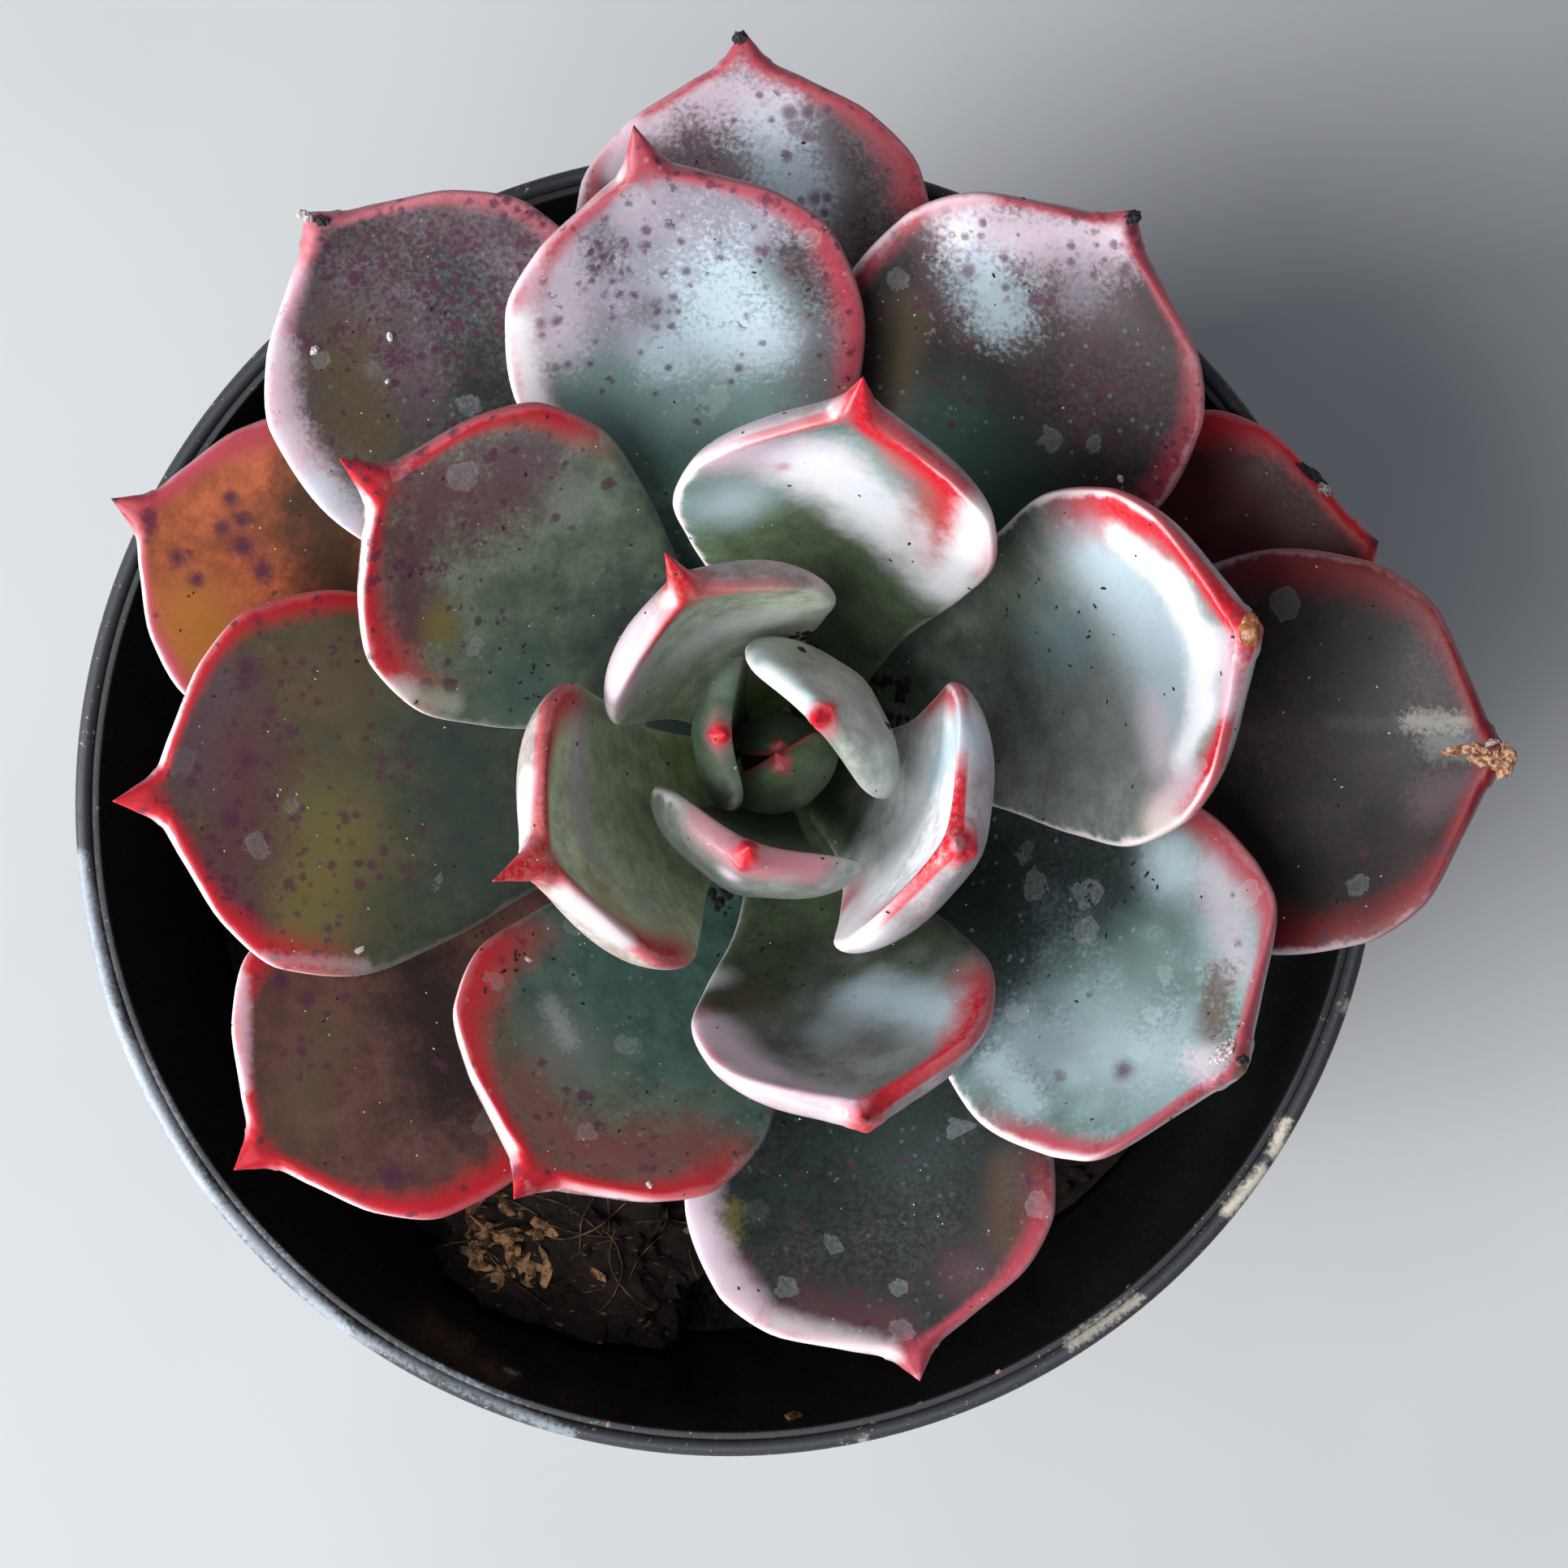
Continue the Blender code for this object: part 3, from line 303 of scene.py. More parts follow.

# Patches of colour that single leaves have: blotches of their own, pale wax patches that are partly painted
# sheen and highlight, and some dark patches that are painted shade. x and y are pixels of the photograph,
# 1932 wide, looked down through onto the leaf;
# the radius is in millimetres, then colour, strength, and how far fine grain breaks it up. A patch with a
# second place is a streak from the one to the other.
Patch = namedtuple("Patch", "x y radius tint strength grain x2 y2", defaults=(None, None))
PATCHES = {
    2: [(880, 905, 1.6, BLUSH, 0.5, 0.2)],
    3: [(925, 805, 1.0, WAX_AND_HIGHLIGHT_BLUE, 0.7, 0.0, 970, 870), (1005, 895, 1.3, BLUSH, 0.8, 0.2)],
    4: [
        (870, 1010, 1.8, BLUSH, 0.7, 0.3, 910, 1055), (925, 1065, 1.7, BLUSH, 0.9, 0.3, 1000, 1060),
        (897, 1078, 0.8, WAX_AND_HIGHLIGHT_PINK, 0.8, 0.0),
    ],
    5: [
        (890, 735, 2.4, OLIVE_BROWN, 0.5, 0.3, 970, 725), (850, 800, 2.4, WAX_AND_HIGHLIGHT_WHITE, 0.45, 0.0, 950, 760),
        (900, 850, 2.6, SPRING, 0.8, 0.0),
    ],
    7: [
        (715, 880, 1.8, WAX_AND_HIGHLIGHT_PINK, 0.6, 0.0, 720, 1030), (735, 1090, 1.8, HONEY, 0.4, 0.2, 790, 1150),
        (800, 1130, 2.6, PALE_SAGE, 0.7, 0.0),
    ],
    8: [
        # Leaf 8's pink, white and blue streaks are painted sheen of the window on its cup
        (900, 548, 3.3, WAX_AND_HIGHLIGHT_PINK, 0.9, 0.0, 1010, 575), (1010, 575, 3.3, WAX_AND_HIGHLIGHT_WHITE, 0.9, 0.0, 1090, 640),
        (1090, 640, 3.2, WAX_AND_HIGHLIGHT_WHITE, 0.95, 0.0, 1165, 720), (905, 620, 3.0, WAX_AND_HIGHLIGHT_BLUE, 0.6, 0.0),
        # The deep green patch at 1010, 720 is painted shade at the leaf's foot
        (965, 575, 0.6, ROSE, 0.5, 0.0), (1010, 720, 2.6, DEEP_GREEN, 0.7, 0.0),
    ],
    9: [
        (1070, 1225, 2.6, WAX_AND_HIGHLIGHT_BLUE, 0.85, 0.1, 1165, 1120),
        (1020, 1270, 2.0, WAX_AND_HIGHLIGHT_BLUE, 0.35, 0.3, 1060, 1240), (920, 1235, 2.6, OLIVE_BROWN, 0.6, 0.3),
        (960, 1290, 2.0, DUSK_PLUM, 0.5, 0.3),
    ],
    10: [
        (530, 610, 4.6, PURPLE_BROWN, 0.9, 0.3), (500, 680, 2.6, PURPLE_BROWN, 0.9, 0.3, 505, 770),
        (640, 570, 4.2, GREY_PLUM, 0.9, 0.3), (545, 770, 1.8, OLIVE_YELLOW, 0.95, 0.2),
        (610, 620, 3.6, PURPLE_BROWN, 0.6, 0.6), (640, 850, 3.4, TEAL, 0.6, 0.0),
        (760, 760, 4.0, DARK_TEAL, 0.6, 0.0), (700, 620, 1.7, GREY_GREEN, 0.6, 0.1),
    ],
    11: [
        # The deep green streak at 1240, 650 is painted shadow of the crown on the leaf's left part
        (1240, 650, 3.6, DEEP_GREEN, 0.7, 0.0, 1240, 800), (1310, 625, 2.2, GREY_PLUM, 0.6, 0.1),
        # The wax blue streak is painted highlight along the leaf's curled side
        (1370, 700, 4.6, WAX_AND_HIGHLIGHT_BLUE, 0.75, 0.0, 1450, 840), (1310, 790, 3.6, BLUE_HAZE, 0.7, 0.0),
        (1350, 900, 4.0, GREY_GREEN, 0.6, 0.0), (1420, 880, 1.7, WAX_AND_HIGHLIGHT_PINK, 0.5, 0.1, 1430, 930),
    ],
    12: [
        (650, 1340, 3.0, RUST, 0.65, 0.6, 690, 1420), (740, 1425, 3.0, RUST, 0.7, 0.6, 860, 1415),
        (620, 1260, 2.2, OLIVE_BROWN, 0.6, 0.3), (700, 1290, 3.0, GREY_GREEN, 0.5, 0.2),
        (790, 1190, 3.4, TEAL, 0.5, 0.0), (680, 1240, 0.9, DRIED_LIME, 0.28, 0.8, 700, 1280),
    ],
    13: [
        # Leaf 13's blue and pink patches are partly wax bloom and partly painted sheen
        (890, 370, 4.6, WAX_AND_HIGHLIGHT_BLUE, 0.90, 1.0), (730, 480, 3.6, SEA, 0.95, 0.4, 970, 500),
        (690, 320, 2.4, WAX_AND_HIGHLIGHT_PINK, 0.55, 0.9, 690, 420), (780, 250, 2.4, WAX_AND_HIGHLIGHT_PINK, 0.4, 1.0),
        (850, 590, 3.4, TEAL, 0.9, 0.1, 900, 650), (1010, 420, 3.0, GREY_PLUM, 0.7, 0.4, 1010, 480),
        (820, 430, 2.6, WAX_AND_HIGHLIGHT_BLUE, 0.6, 0.7, 940, 420), (985, 320, 2.6, DUSK_PLUM, 0.95, 0.6, 1020, 350),
        (740, 310, 1.6, GREY_PLUM, 0.8, 1.0), (800, 385, 1.5, GREY_PLUM, 0.6, 1.0),
        (790, 195, 1.8, DARK_RED, 0.8, 0.3),
    ],
    14: [
        # Leaf 14's wax patches are partly wax bloom and partly painted sheen
        (1440, 1065, 2.6, WAX_AND_HIGHLIGHT_BLUE, 0.6, 0.3), (1500, 1070, 2.0, WAX_AND_HIGHLIGHT_PINK, 0.5, 0.7, 1525, 1190),
        (1390, 1210, 4.6, SEA, 0.7, 0.7), (1440, 1280, 3.0, WAX_AND_HIGHLIGHT_BLUE, 0.2, 1.0),
        (1270, 1285, 3.6, WAX_AND_HIGHLIGHT_BLUE, 0.35, 0.6, 1420, 1310),
        (1503, 1205, 1.4, SCAB_BROWN, 0.8, 0.7, 1495, 1270), (1384, 1318, 0.8, SPOT_PLUM, 0.8, 0.2),
        # The ink teal patch is painted shadow of the crown on the leaf's inner part
        (1330, 1100, 4.6, INK_TEAL, 0.9, 0.0),
    ],
    15: [
        (420, 830, 4.6, OLIVE_BROWN, 0.8, 0.3), (400, 1030, 4.4, OLIVE_YELLOW, 0.75, 0.2, 370, 1110),
        (560, 880, 4.8, DARK_TEAL, 0.7, 0.1, 580, 1060), (275, 850, 2.8, GREY_PLUM, 0.9, 0.5, 240, 960),
        (230, 1060, 3.0, PURPLE_BROWN, 0.9, 0.4, 290, 1130),
        (300, 920, 3.6, PURPLE_BROWN, 0.8, 0.6, 300, 1040), (285, 1010, 0.8, SPOT_PLUM, 0.9, 0.3),
        (310, 1128, 0.8, SPOT_PLUM, 0.9, 0.3), (303, 825, 1.1, SPOT_PLUM, 0.9, 0.4),
        (305, 938, 0.8, SPOT_PLUM, 0.7, 0.4),
    ],
    16: [
        (1190, 285, 2.5, WAX_AND_HIGHLIGHT_PINK, 0.75, 0.5, 1370, 300), (1205, 330, 2.6, WAX_AND_HIGHLIGHT_BLUE, 0.6, 0.8, 1235, 385),
        (1330, 350, 3.0, LILAC_GREY, 0.6, 0.9), (1185, 285, 1.4, WAX_AND_HIGHLIGHT_WHITE, 0.5, 0.4),
        (1118, 380, 1.6, OLIVE_BROWN, 0.7, 0.5, 1105, 500), (1180, 540, 4.6, TEAL, 0.75, 0.2, 1240, 620),
        (1420, 440, 3.6, DUSK_PLUM, 0.9, 0.4, 1470, 520), (1380, 280, 1.8, WAX_AND_HIGHLIGHT_PINK, 0.9, 0.3),
    ],
    17: [
        (900, 1490, 1.0, OLIVE_YELLOW, 0.6, 0.9, 898, 1520),
        (1240, 1440, 1.6, SCAB_BROWN, 0.6, 0.9, 1235, 1520),
        (1000, 1620, 2.2, PURPLE_BROWN, 0.7, 0.6, 1090, 1640), (1190, 1570, 2.2, PURPLE_BROWN, 0.5, 0.6),
        (1120, 1420, 3.4, DARK_TEAL, 0.6, 0.2),
    ],
    18: [
        (450, 540, 3.6, OLIVE_BROWN, 0.9, 0.3, 420, 440), (420, 300, 2.6, DUSK_PLUM, 0.8, 0.8, 500, 310),
        (560, 330, 3.0, SMOKE, 0.8, 0.4, 600, 470), (500, 430, 1.6, GREY_PLUM, 0.8, 0.8, 520, 500),
        (490, 440, 1.2, SPOT_PLUM, 0.8, 0.8), (372, 420, 1.1, SPOT_PLUM, 0.7, 0.8),
        (575, 300, 1.5, SPOT_PLUM, 0.6, 0.8),
    ],
    19: [
        (1640, 890, 0.6, GREY_GREEN, 0.12, 1.0, 1740, 893), (1740, 888, 0.8, CREAM, 0.35, 1.0, 1810, 890),
        (1770, 912, 1.2, GREY_GREEN, 0.6, 0.8, 1830, 922), (1840, 910, 1.4, DUSK_PLUM, 0.9, 0.4, 1845, 960),
        (1760, 990, 1.8, GREY_PLUM, 0.8, 0.6, 1820, 965), (1650, 800, 4.0, SMOKE, 0.7, 0.2),
        (1740, 1080, 3.0, DUSK_PLUM, 0.9, 0.3), (1770, 820, 2.6, DUSK_PLUM, 0.9, 0.3),
    ],
    20: [
        (530, 1220, 4.6, BLACK_BROWN, 0.95, 0.2, 560, 1330), (484, 1448, 0.9, SPOT_PLUM, 0.9, 0.2),
        (345, 1208, 0.7, SPOT_PLUM, 0.9, 0.2), (370, 1380, 2.4, OLIVE_BROWN, 0.5, 0.3, 400, 1260),
    ],
    21: [
        (850, 110, 2.8, WAX_AND_HIGHLIGHT_PINK, 0.75, 0.8, 950, 130), (950, 170, 2.8, WAX_AND_HIGHLIGHT_BLUE, 0.6, 0.8, 990, 240),
        (1085, 190, 3.0, DUSK_PLUM, 0.95, 0.4, 1110, 270), (800, 140, 2.4, WAX_AND_HIGHLIGHT_PINK, 0.8, 0.4),
        (1060, 150, 2.4, DUSK_PLUM, 0.8, 0.7),
    ],
    23: [
        (390, 620, 3.6, DARK_AMBER, 0.95, 0.1, 420, 720), (240, 760, 3.0, HONEY, 0.8, 0.1, 280, 820),
        (283, 613, 0.6, SPOT_PLUM, 0.9, 0.2), (273, 649, 0.6, SPOT_PLUM, 0.9, 0.2),
        (297, 640, 0.7, SPOT_PLUM, 0.9, 0.2), (300, 674, 1.0, SPOT_PLUM, 0.9, 0.2),
        (219, 687, 0.8, SPOT_PLUM, 0.9, 0.2), (243, 713, 0.7, SPOT_PLUM, 0.9, 0.2),
        (325, 702, 0.9, SPOT_PLUM, 0.9, 0.2), (183, 645, 0.8, SPOT_PLUM, 0.8, 0.2),
    ],
    24: [(1625, 600, 1.1, NEAR_BLACK, 0.8, 0.3)],
}

# Pale patches that also lie over the margins, most of them on the side that the window lights: partly wax
# bloom and partly painted highlights and sheen
BLOOM_AND_HIGHLIGHTS = {
    3: [(915, 805, 0.7, WAX_AND_HIGHLIGHT_WHITE, 0.6, 0.0, 960, 880)],
    5: [(785, 760, 1.8, WAX_AND_HIGHLIGHT_PINK, 0.9, 0.0, 765, 860)],
    6: [
        (1140, 860, 2.4, WAX_AND_HIGHLIGHT_BLUE, 0.9, 0.0, 1140, 960), (1135, 960, 2.4, WAX_AND_HIGHLIGHT_WHITE, 0.8, 0.0, 1090, 1080),
        (1040, 1130, 2.0, WAX_AND_HIGHLIGHT_WHITE, 0.9, 0.0, 1060, 1150),
    ],
    7: [(646, 960, 0.9, WAX_AND_HIGHLIGHT_WHITE, 0.9, 0.0, 640, 1040), (690, 1130, 0.9, WAX_AND_HIGHLIGHT_WHITE, 0.7, 0.0, 800, 1200)],
    8: [(1175, 715, 1.8, WAX_AND_HIGHLIGHT_WHITE, 0.9, 0.1, 1190, 750)],
    9: [
        (870, 1260, 1.9, WAX_AND_HIGHLIGHT_PINK, 1.0, 0.1, 930, 1320), (930, 1320, 1.7, WAX_AND_HIGHLIGHT_PINK, 0.85, 0.1, 1030, 1352),
        (880, 1205, 1.6, WAX_AND_HIGHLIGHT_WHITE, 0.5, 0.1),
    ],
    10: [(485, 850, 1.0, WAX_AND_HIGHLIGHT_PINK, 0.7, 0.2, 550, 905), (550, 905, 0.9, PALE_SAGE, 0.6, 0.4, 680, 935)],
    11: [
        (1378, 662, 1.2, WAX_AND_HIGHLIGHT_WHITE, 1.0, 0.0, 1440, 715), (1440, 715, 1.4, WAX_AND_HIGHLIGHT_WHITE, 1.0, 0.0, 1482, 800),
        (1482, 800, 1.6, WAX_AND_HIGHLIGHT_WHITE, 1.0, 0.0, 1480, 870), (1480, 870, 1.3, WAX_AND_HIGHLIGHT_WHITE, 1.0, 0.0, 1458, 930),
        (1508, 800, 1.5, WAX_AND_HIGHLIGHT_PINK, 0.75, 0.3, 1512, 860), (1460, 960, 1.6, WAX_AND_HIGHLIGHT_PINK, 0.7, 0.3, 1430, 1000),
        (1425, 1012, 1.7, CREAM, 0.6, 0.2, 1300, 1025),
    ],
    13: [(660, 320, 0.9, WAX_AND_HIGHLIGHT_PINK, 0.5, 0.2, 645, 400), (638, 400, 1.2, WAX_AND_HIGHLIGHT_WHITE, 0.8, 0.2, 665, 520)],
    14: [(1225, 1310, 1.4, WAX_AND_HIGHLIGHT_BLUE, 0.45, 0.6, 1270, 1360), (1480, 1310, 1.5, WAX_AND_HIGHLIGHT_PINK, 0.7, 0.5)],
    15: [(330, 1188, 0.5, WAX_AND_HIGHLIGHT_PINK, 0.3, 0.6, 450, 1190)],
    16: [(1150, 250, 1.2, WAX_AND_HIGHLIGHT_PINK, 0.5, 0.3, 1210, 245)],
    17: [
        (848, 1420, 1.7, WAX_AND_HIGHLIGHT_PINK, 0.85, 0.1, 858, 1520), (858, 1520, 1.6, WAX_AND_HIGHLIGHT_PINK, 0.85, 0.1, 920, 1610),
        (1090, 1680, 1.1, WAX_AND_HIGHLIGHT_WHITE, 0.6, 0.1, 960, 1630),
    ],
    18: [
        (348, 330, 1.0, WAX_AND_HIGHLIGHT_PINK, 0.5, 0.4, 338, 430), (342, 430, 1.4, WAX_AND_HIGHLIGHT_PINK, 0.8, 0.4, 352, 540),
        (352, 540, 1.7, WAX_AND_HIGHLIGHT_PINK, 0.8, 0.4, 395, 630), (395, 630, 1.8, WAX_AND_HIGHLIGHT_BLUE, 0.7, 0.3, 450, 690),
    ],
    20: [(286, 1200, 0.6, WAX_AND_HIGHLIGHT_PINK, 0.6, 0.3, 292, 1340)],
    21: [(765, 150, 1.2, WAX_AND_HIGHLIGHT_PINK, 0.7, 0.1, 760, 210)],
}

# Worn streaks along the left of the pot's rim, which also stand as the painted highlight of its bead, and
# flakes of lime on the rim
POT_PATCHES = (
    (92, 1060, 0.7, WEAR_AND_HIGHLIGHT_GREY, 0.8, 0.5, 128, 1260), (128, 1260, 0.8, WEAR_AND_HIGHLIGHT_GREY, 0.95, 0.5, 240, 1460),
    (240, 1460, 0.7, WEAR_AND_HIGHLIGHT_GREY, 0.8, 0.8, 420, 1640), (420, 1640, 0.5, WEAR_AND_HIGHLIGHT_GREY, 0.6, 1.0, 700, 1770),
    (1582, 1385, 0.55, CREAM, 0.95, 0.8, 1572, 1420), (1556, 1445, 0.6, CREAM, 0.95, 0.8, 1514, 1490),
    (1660, 1240, 0.5, CREAM, 0.6, 1.0), (1320, 1655, 0.5, CREAM, 0.5, 1.0, 1400, 1600),
    (630, 1690, 0.6, CREAM, 0.45, 1.0), (1063, 1775, 0.4, CREAM, 0.5, 0.9),
)

# Dried and scarred bits: pixels of the photograph, then millimetres long, wide and high, and degrees that
# the long side is turned from the photograph's right
Scab = namedtuple("Scab", "leaf x y long wide high turn finish")
SCABS = (
    Scab(11, 1541, 777, 1.4, 2.0, 0.9, 0, "amber"),
    Scab(14, 1508, 1296, 1.9, 1.1, 0.5, 40, "pale"),
    Scab(14, 1531, 1306, 0.8, 0.6, 0.6, 0, "black"),
    Scab(16, 1396, 268, 1.0, 0.8, 0.8, 30, "black"),
    Scab(18, 376, 266, 1.3, 0.6, 0.6, 160, "pale"),
    Scab(18, 396, 272, 1.0, 0.7, 0.6, 160, "black"),
    Scab(18, 388, 430, 0.5, 0.45, 0.4, 0, "pale"),
    Scab(19, 1796, 925, 2.0, 0.7, 0.4, 5, "tan"),
    Scab(19, 1822, 930, 1.8, 1.1, 0.8, -20, "tan"),
    Scab(19, 1852, 935, 1.7, 2.2, 1.4, 0, "tan"),
    Scab(19, 1838, 915, 0.9, 0.4, 0.4, 20, "pale"),
    Scab(21, 908, 45, 0.9, 0.9, 0.7, 90, "black"),
    Scab(24, 1618, 586, 2.6, 0.8, 0.6, -25, "black"),
    Scab(24, 1640, 596, 1.2, 0.7, 0.6, -25, "pale"),
)

# The scabs' finishes: dark tone, light tone, size of the grain, roughness; and how craggy a smooth one is
SCAB_FINISHES = {
    "tan": ((0.16, 0.055, 0.022), (0.72, 0.42, 0.24), 0.5 * MM),
    "black": ((0.006, 0.004, 0.005), (0.06, 0.045, 0.05), 0.3 * MM),
    "pale": ((0.22, 0.15, 0.15), (0.72, 0.64, 0.62), 0.3 * MM),
    "amber": ((0.20, 0.05, 0.014), (0.42, 0.17, 0.06), 0.9 * MM, 0.35),
}
SCAB_DEPTHS = {"amber": 0.18}

# The same of the loose bits and of the bud's core
BIT_FINISHES = {
    "soil_fleck": ((0.006, 0.005, 0.004), (0.04, 0.025, 0.016), 0.4 * MM),
    "dust": ((0.45, 0.42, 0.40), (0.80, 0.78, 0.74), 0.2 * MM),
    "root": ((0.03, 0.017, 0.009), (0.20, 0.11, 0.055), 1.5 * MM, 0.7),
    "coir_chip": ((0.07, 0.028, 0.010), (0.48, 0.26, 0.12), 0.8 * MM),
    "growing_tip": (DEEP_GREEN, SAGE, 1.2 * MM, 0.5),
}

# Flecks and flakes on the leaves, in pixels of the photograph
ROSETTE_MIDDLE = (960, 935)
ROSETTE_PIXELS = 760
FLECK_SEED = 5
SOIL_FLECKS = 240
DUST_FLECKS = 260
FLECKS_A_PLACE = 16
CRUMBS_A_CREVICE = 9
FLECKED_PLACES = ((1380, 1110), (1300, 1090), (950, 1180), (620, 1170), (660, 840), (1290, 760))
CREVICES = ((990, 780), (1085, 838), (1108, 852), (1097, 890), (888, 1106))
FLAKES = ((442, 1171), (388, 432), (1380, 590), (480, 415), (478, 470), (800, 1460), (650, 1182))

# The clod's chips and roots
FIBRES = 26
FIBRE_SEED = 3
FIBRE_RADIUS = 0.045 * MM
FIBRE_STEP = 0.32 * MM
CHIPS = 90
CHIP_SEED = 8
CHIP_SIZES = (0.22, 0.55)  # half widths in millimetres

# Crumbs that stick to the pot's wall: pixels of the photograph, and half widths in millimetres
WALL_CRUMBS = (
    (980, 1745, 0.65), (750, 1755, 0.2), (1230, 1690, 0.18), (1390, 1585, 0.16), (470, 1560, 0.15),
)

# The leaves that are not teal
COLOURED_LEAVES = {"leaf_plum": (15, 18, 19, 20, 21), "leaf_amber": (23,), "leaf_maroon": (24,)}

# Each light's name, azimuth, elevation, size, power and colour
LIGHT_DISTANCE = 0.80
LIGHTS = (
    ("window", 204, 22, (0.50, 0.30), 8.6, (0.95, 0.97, 1.0)),
    ("sky", 212, 60, (0.50, 0.50), 4.6, (0.96, 0.98, 1.0)),
)
SKY_COLOUR = (0.80, 0.86, 1.0)
SKY_STRENGTH = 0.22
FLOOR_SIZE = 3.0
FLOOR_GREY = (0.56, 0.56, 0.56)
FLOOR_PALE = (0.60, 0.60, 0.595)


# Small tools for shapes


def deselect_all():
    if bpy.context.object and bpy.context.object.mode != "OBJECT":
        bpy.ops.object.mode_set(mode="OBJECT")
    bpy.ops.object.select_all(action="DESELECT")


def select_only(piece):
    deselect_all()
    piece.select_set(True)
    bpy.context.view_layer.objects.active = piece


def named_new(name):
    """The object that an operator has just made, under its own name."""
    piece = bpy.context.object
    piece.name = name
    piece.data.name = name
    return piece


def new_ball(name, detail):
    """A ball of radius one made of triangles."""
    deselect_all()
    bpy.ops.mesh.primitive_ico_sphere_add(subdivisions=detail, radius=1.0)
    return named_new(name)


def new_globe(name, segments, rings):
    """A ball of radius one made of rings between two poles."""
    deselect_all()
    bpy.ops.mesh.primitive_uv_sphere_add(segments=segments, ring_count=rings, radius=1.0, location=(0, 0, 0))
    return named_new(name)


def apply_modifiers(piece):
    select_only(piece)
    for modifier in list(piece.modifiers):
        bpy.ops.object.modifier_apply(modifier=modifier.name)


def smooth(piece):
    select_only(piece)
    bpy.ops.object.shade_smooth()


def smooth_by_angle(piece, degrees):
    select_only(piece)
    bpy.ops.object.shade_smooth_by_angle(angle=math.radians(degrees))


def placed_copy(kind, matrix):
    """A copy of a piece with its own mesh, put in its place by a matrix."""
    copy = kind.copy()
    copy.data = copy.data.copy()
    copy.data.transform(matrix)
    bpy.context.scene.collection.objects.link(copy)
    return copy


def join_copies(copies, kinds, name):
    """One piece made of many copies; the pieces that they were copied from are removed."""
    deselect_all()
    for copy in copies:
        copy.select_set(True)
    bpy.context.view_layer.objects.active = copies[0]
    bpy.ops.object.join()
    piece = named_new(name)
    for kind in kinds:
        bpy.data.objects.remove(kind, do_unlink=True)
    return piece


def finish_piece(piece, material, slot, *nodes):
    """Gives a piece its material, hangs it under the root body, and hides the solids that it stands for."""
    piece.data.materials.clear()
    piece.data.materials.append(material)
    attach(piece, "root")
    if nodes:
        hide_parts(*nodes)
    return piece


def top_of(piece):
    return max(vertex.co.z for vertex in piece.data.vertices)


def eased(share):
    """0 to 1 with a soft start and end."""
    share = min(1.0, max(0.0, share))
    return share * share * (3 - 2 * share)


def smooth_between(points, place):
    """The value at a place on a smooth curve through (place, value) points, with no overshoot."""
    last = len(points) - 1
    place = min(points[last][0], max(points[0][0], place))
    i = 0
    while i < last - 1 and place >= points[i + 1][0]:
        i += 1

    def slope(k):
        return (points[k + 1][1] - points[k][1]) / (points[k + 1][0] - points[k][0])

    def tangent(k):
        if k in (0, last):
            return slope(min(k, last - 1))
        before = slope(k - 1)
        after = slope(k)
        return 2 * before * after / (before + after) if before * after > 0 else 0.0

    (x0, y0), (x1, y1) = points[i], points[i + 1]
    wide = x1 - x0
    t = (place - x0) / wide
    return (
        y0 * (2 * t**3 - 3 * t**2 + 1)
        + tangent(i) * wide * (t**3 - 2 * t**2 + t)
        + y1 * (3 * t**2 - 2 * t**3)
        + tangent(i + 1) * wide * (t**3 - t**2)
    )


def inner_wall_radius(height):
    """The radius of the inside of the pot's wall at a height."""
    return RIM_INNER_RADIUS - WALL_SLOPE * (POT_HEIGHT - height)


def upright(normal):
    """The turn that stands a piece on a surface."""
    return normal.to_track_quat("Z", "Y")


# Small tools for materials


class Wire:
    """What comes out of a node. Sums with wires are worked out by Math nodes."""

    def __init__(self, socket):
        self.socket = socket
        self.tree = socket.id_data

    def calc(self, operation, other=0.0, clamp=False):
        settings = {"operation": operation, "use_clamp": clamp}
        return add_node(self.tree, "ShaderNodeMath", {0: self, 1: other}, **settings)[0]

    def __add__(self, other):
        return self.calc("ADD", other)

    def __sub__(self, other):
        return self.calc("SUBTRACT", other)

    def __mul__(self, other):
        return self.calc("MULTIPLY", other)

    def __truediv__(self, other):
        return self.calc("DIVIDE", other)

    def __abs__(self):
        return self.calc("ABSOLUTE")

    def or_more(self, other, clamp=False):
        return self.calc("MAXIMUM", other, clamp)

    def span(self, low, high, start=0.0, end=1.0):
        """Eased from start to end while the wire's value goes from low to high."""
        inputs = {"Value": self, "From Min": low, "From Max": high, "To Min": start, "To Max": end}
        return add_node(self.tree, "ShaderNodeMapRange", inputs, interpolation_type="SMOOTHSTEP")[0]

    def vector(self, operation, other, result="Value"):
        return add_node(self.tree, "ShaderNodeVectorMath", {0: self, 1: other}, operation=operation)[result]


class Outputs:
    """A node's outputs, each picked as a wire by its name or number."""

    def __init__(self, sockets):
        self.sockets = sockets

    def __getitem__(self, name):
        return Wire(self.sockets[name])


def feed(socket, value):
    """Links a wire into an input, or sets the input's value; a colour has three numbers."""
    if isinstance(value, Wire):
        value.tree.links.new(value.socket, socket)
    elif isinstance(value, tuple) and socket.type == "RGBA":
        socket.default_value = (*value, 1.0)
    else:
        socket.default_value = value


def add_node(tree, kind, inputs=None, **settings):
    node = tree.nodes.new(kind)
    for name, value in settings.items():
        setattr(node, name, value)
    for name, value in (inputs or {}).items():
        feed(node.inputs[name], value)
    return Outputs(node.outputs)


def mix(share, first, second):
    """A mix of two numbers."""
    return add_node(share.tree, "ShaderNodeMix", {0: share, 2: first, 3: second})[0]


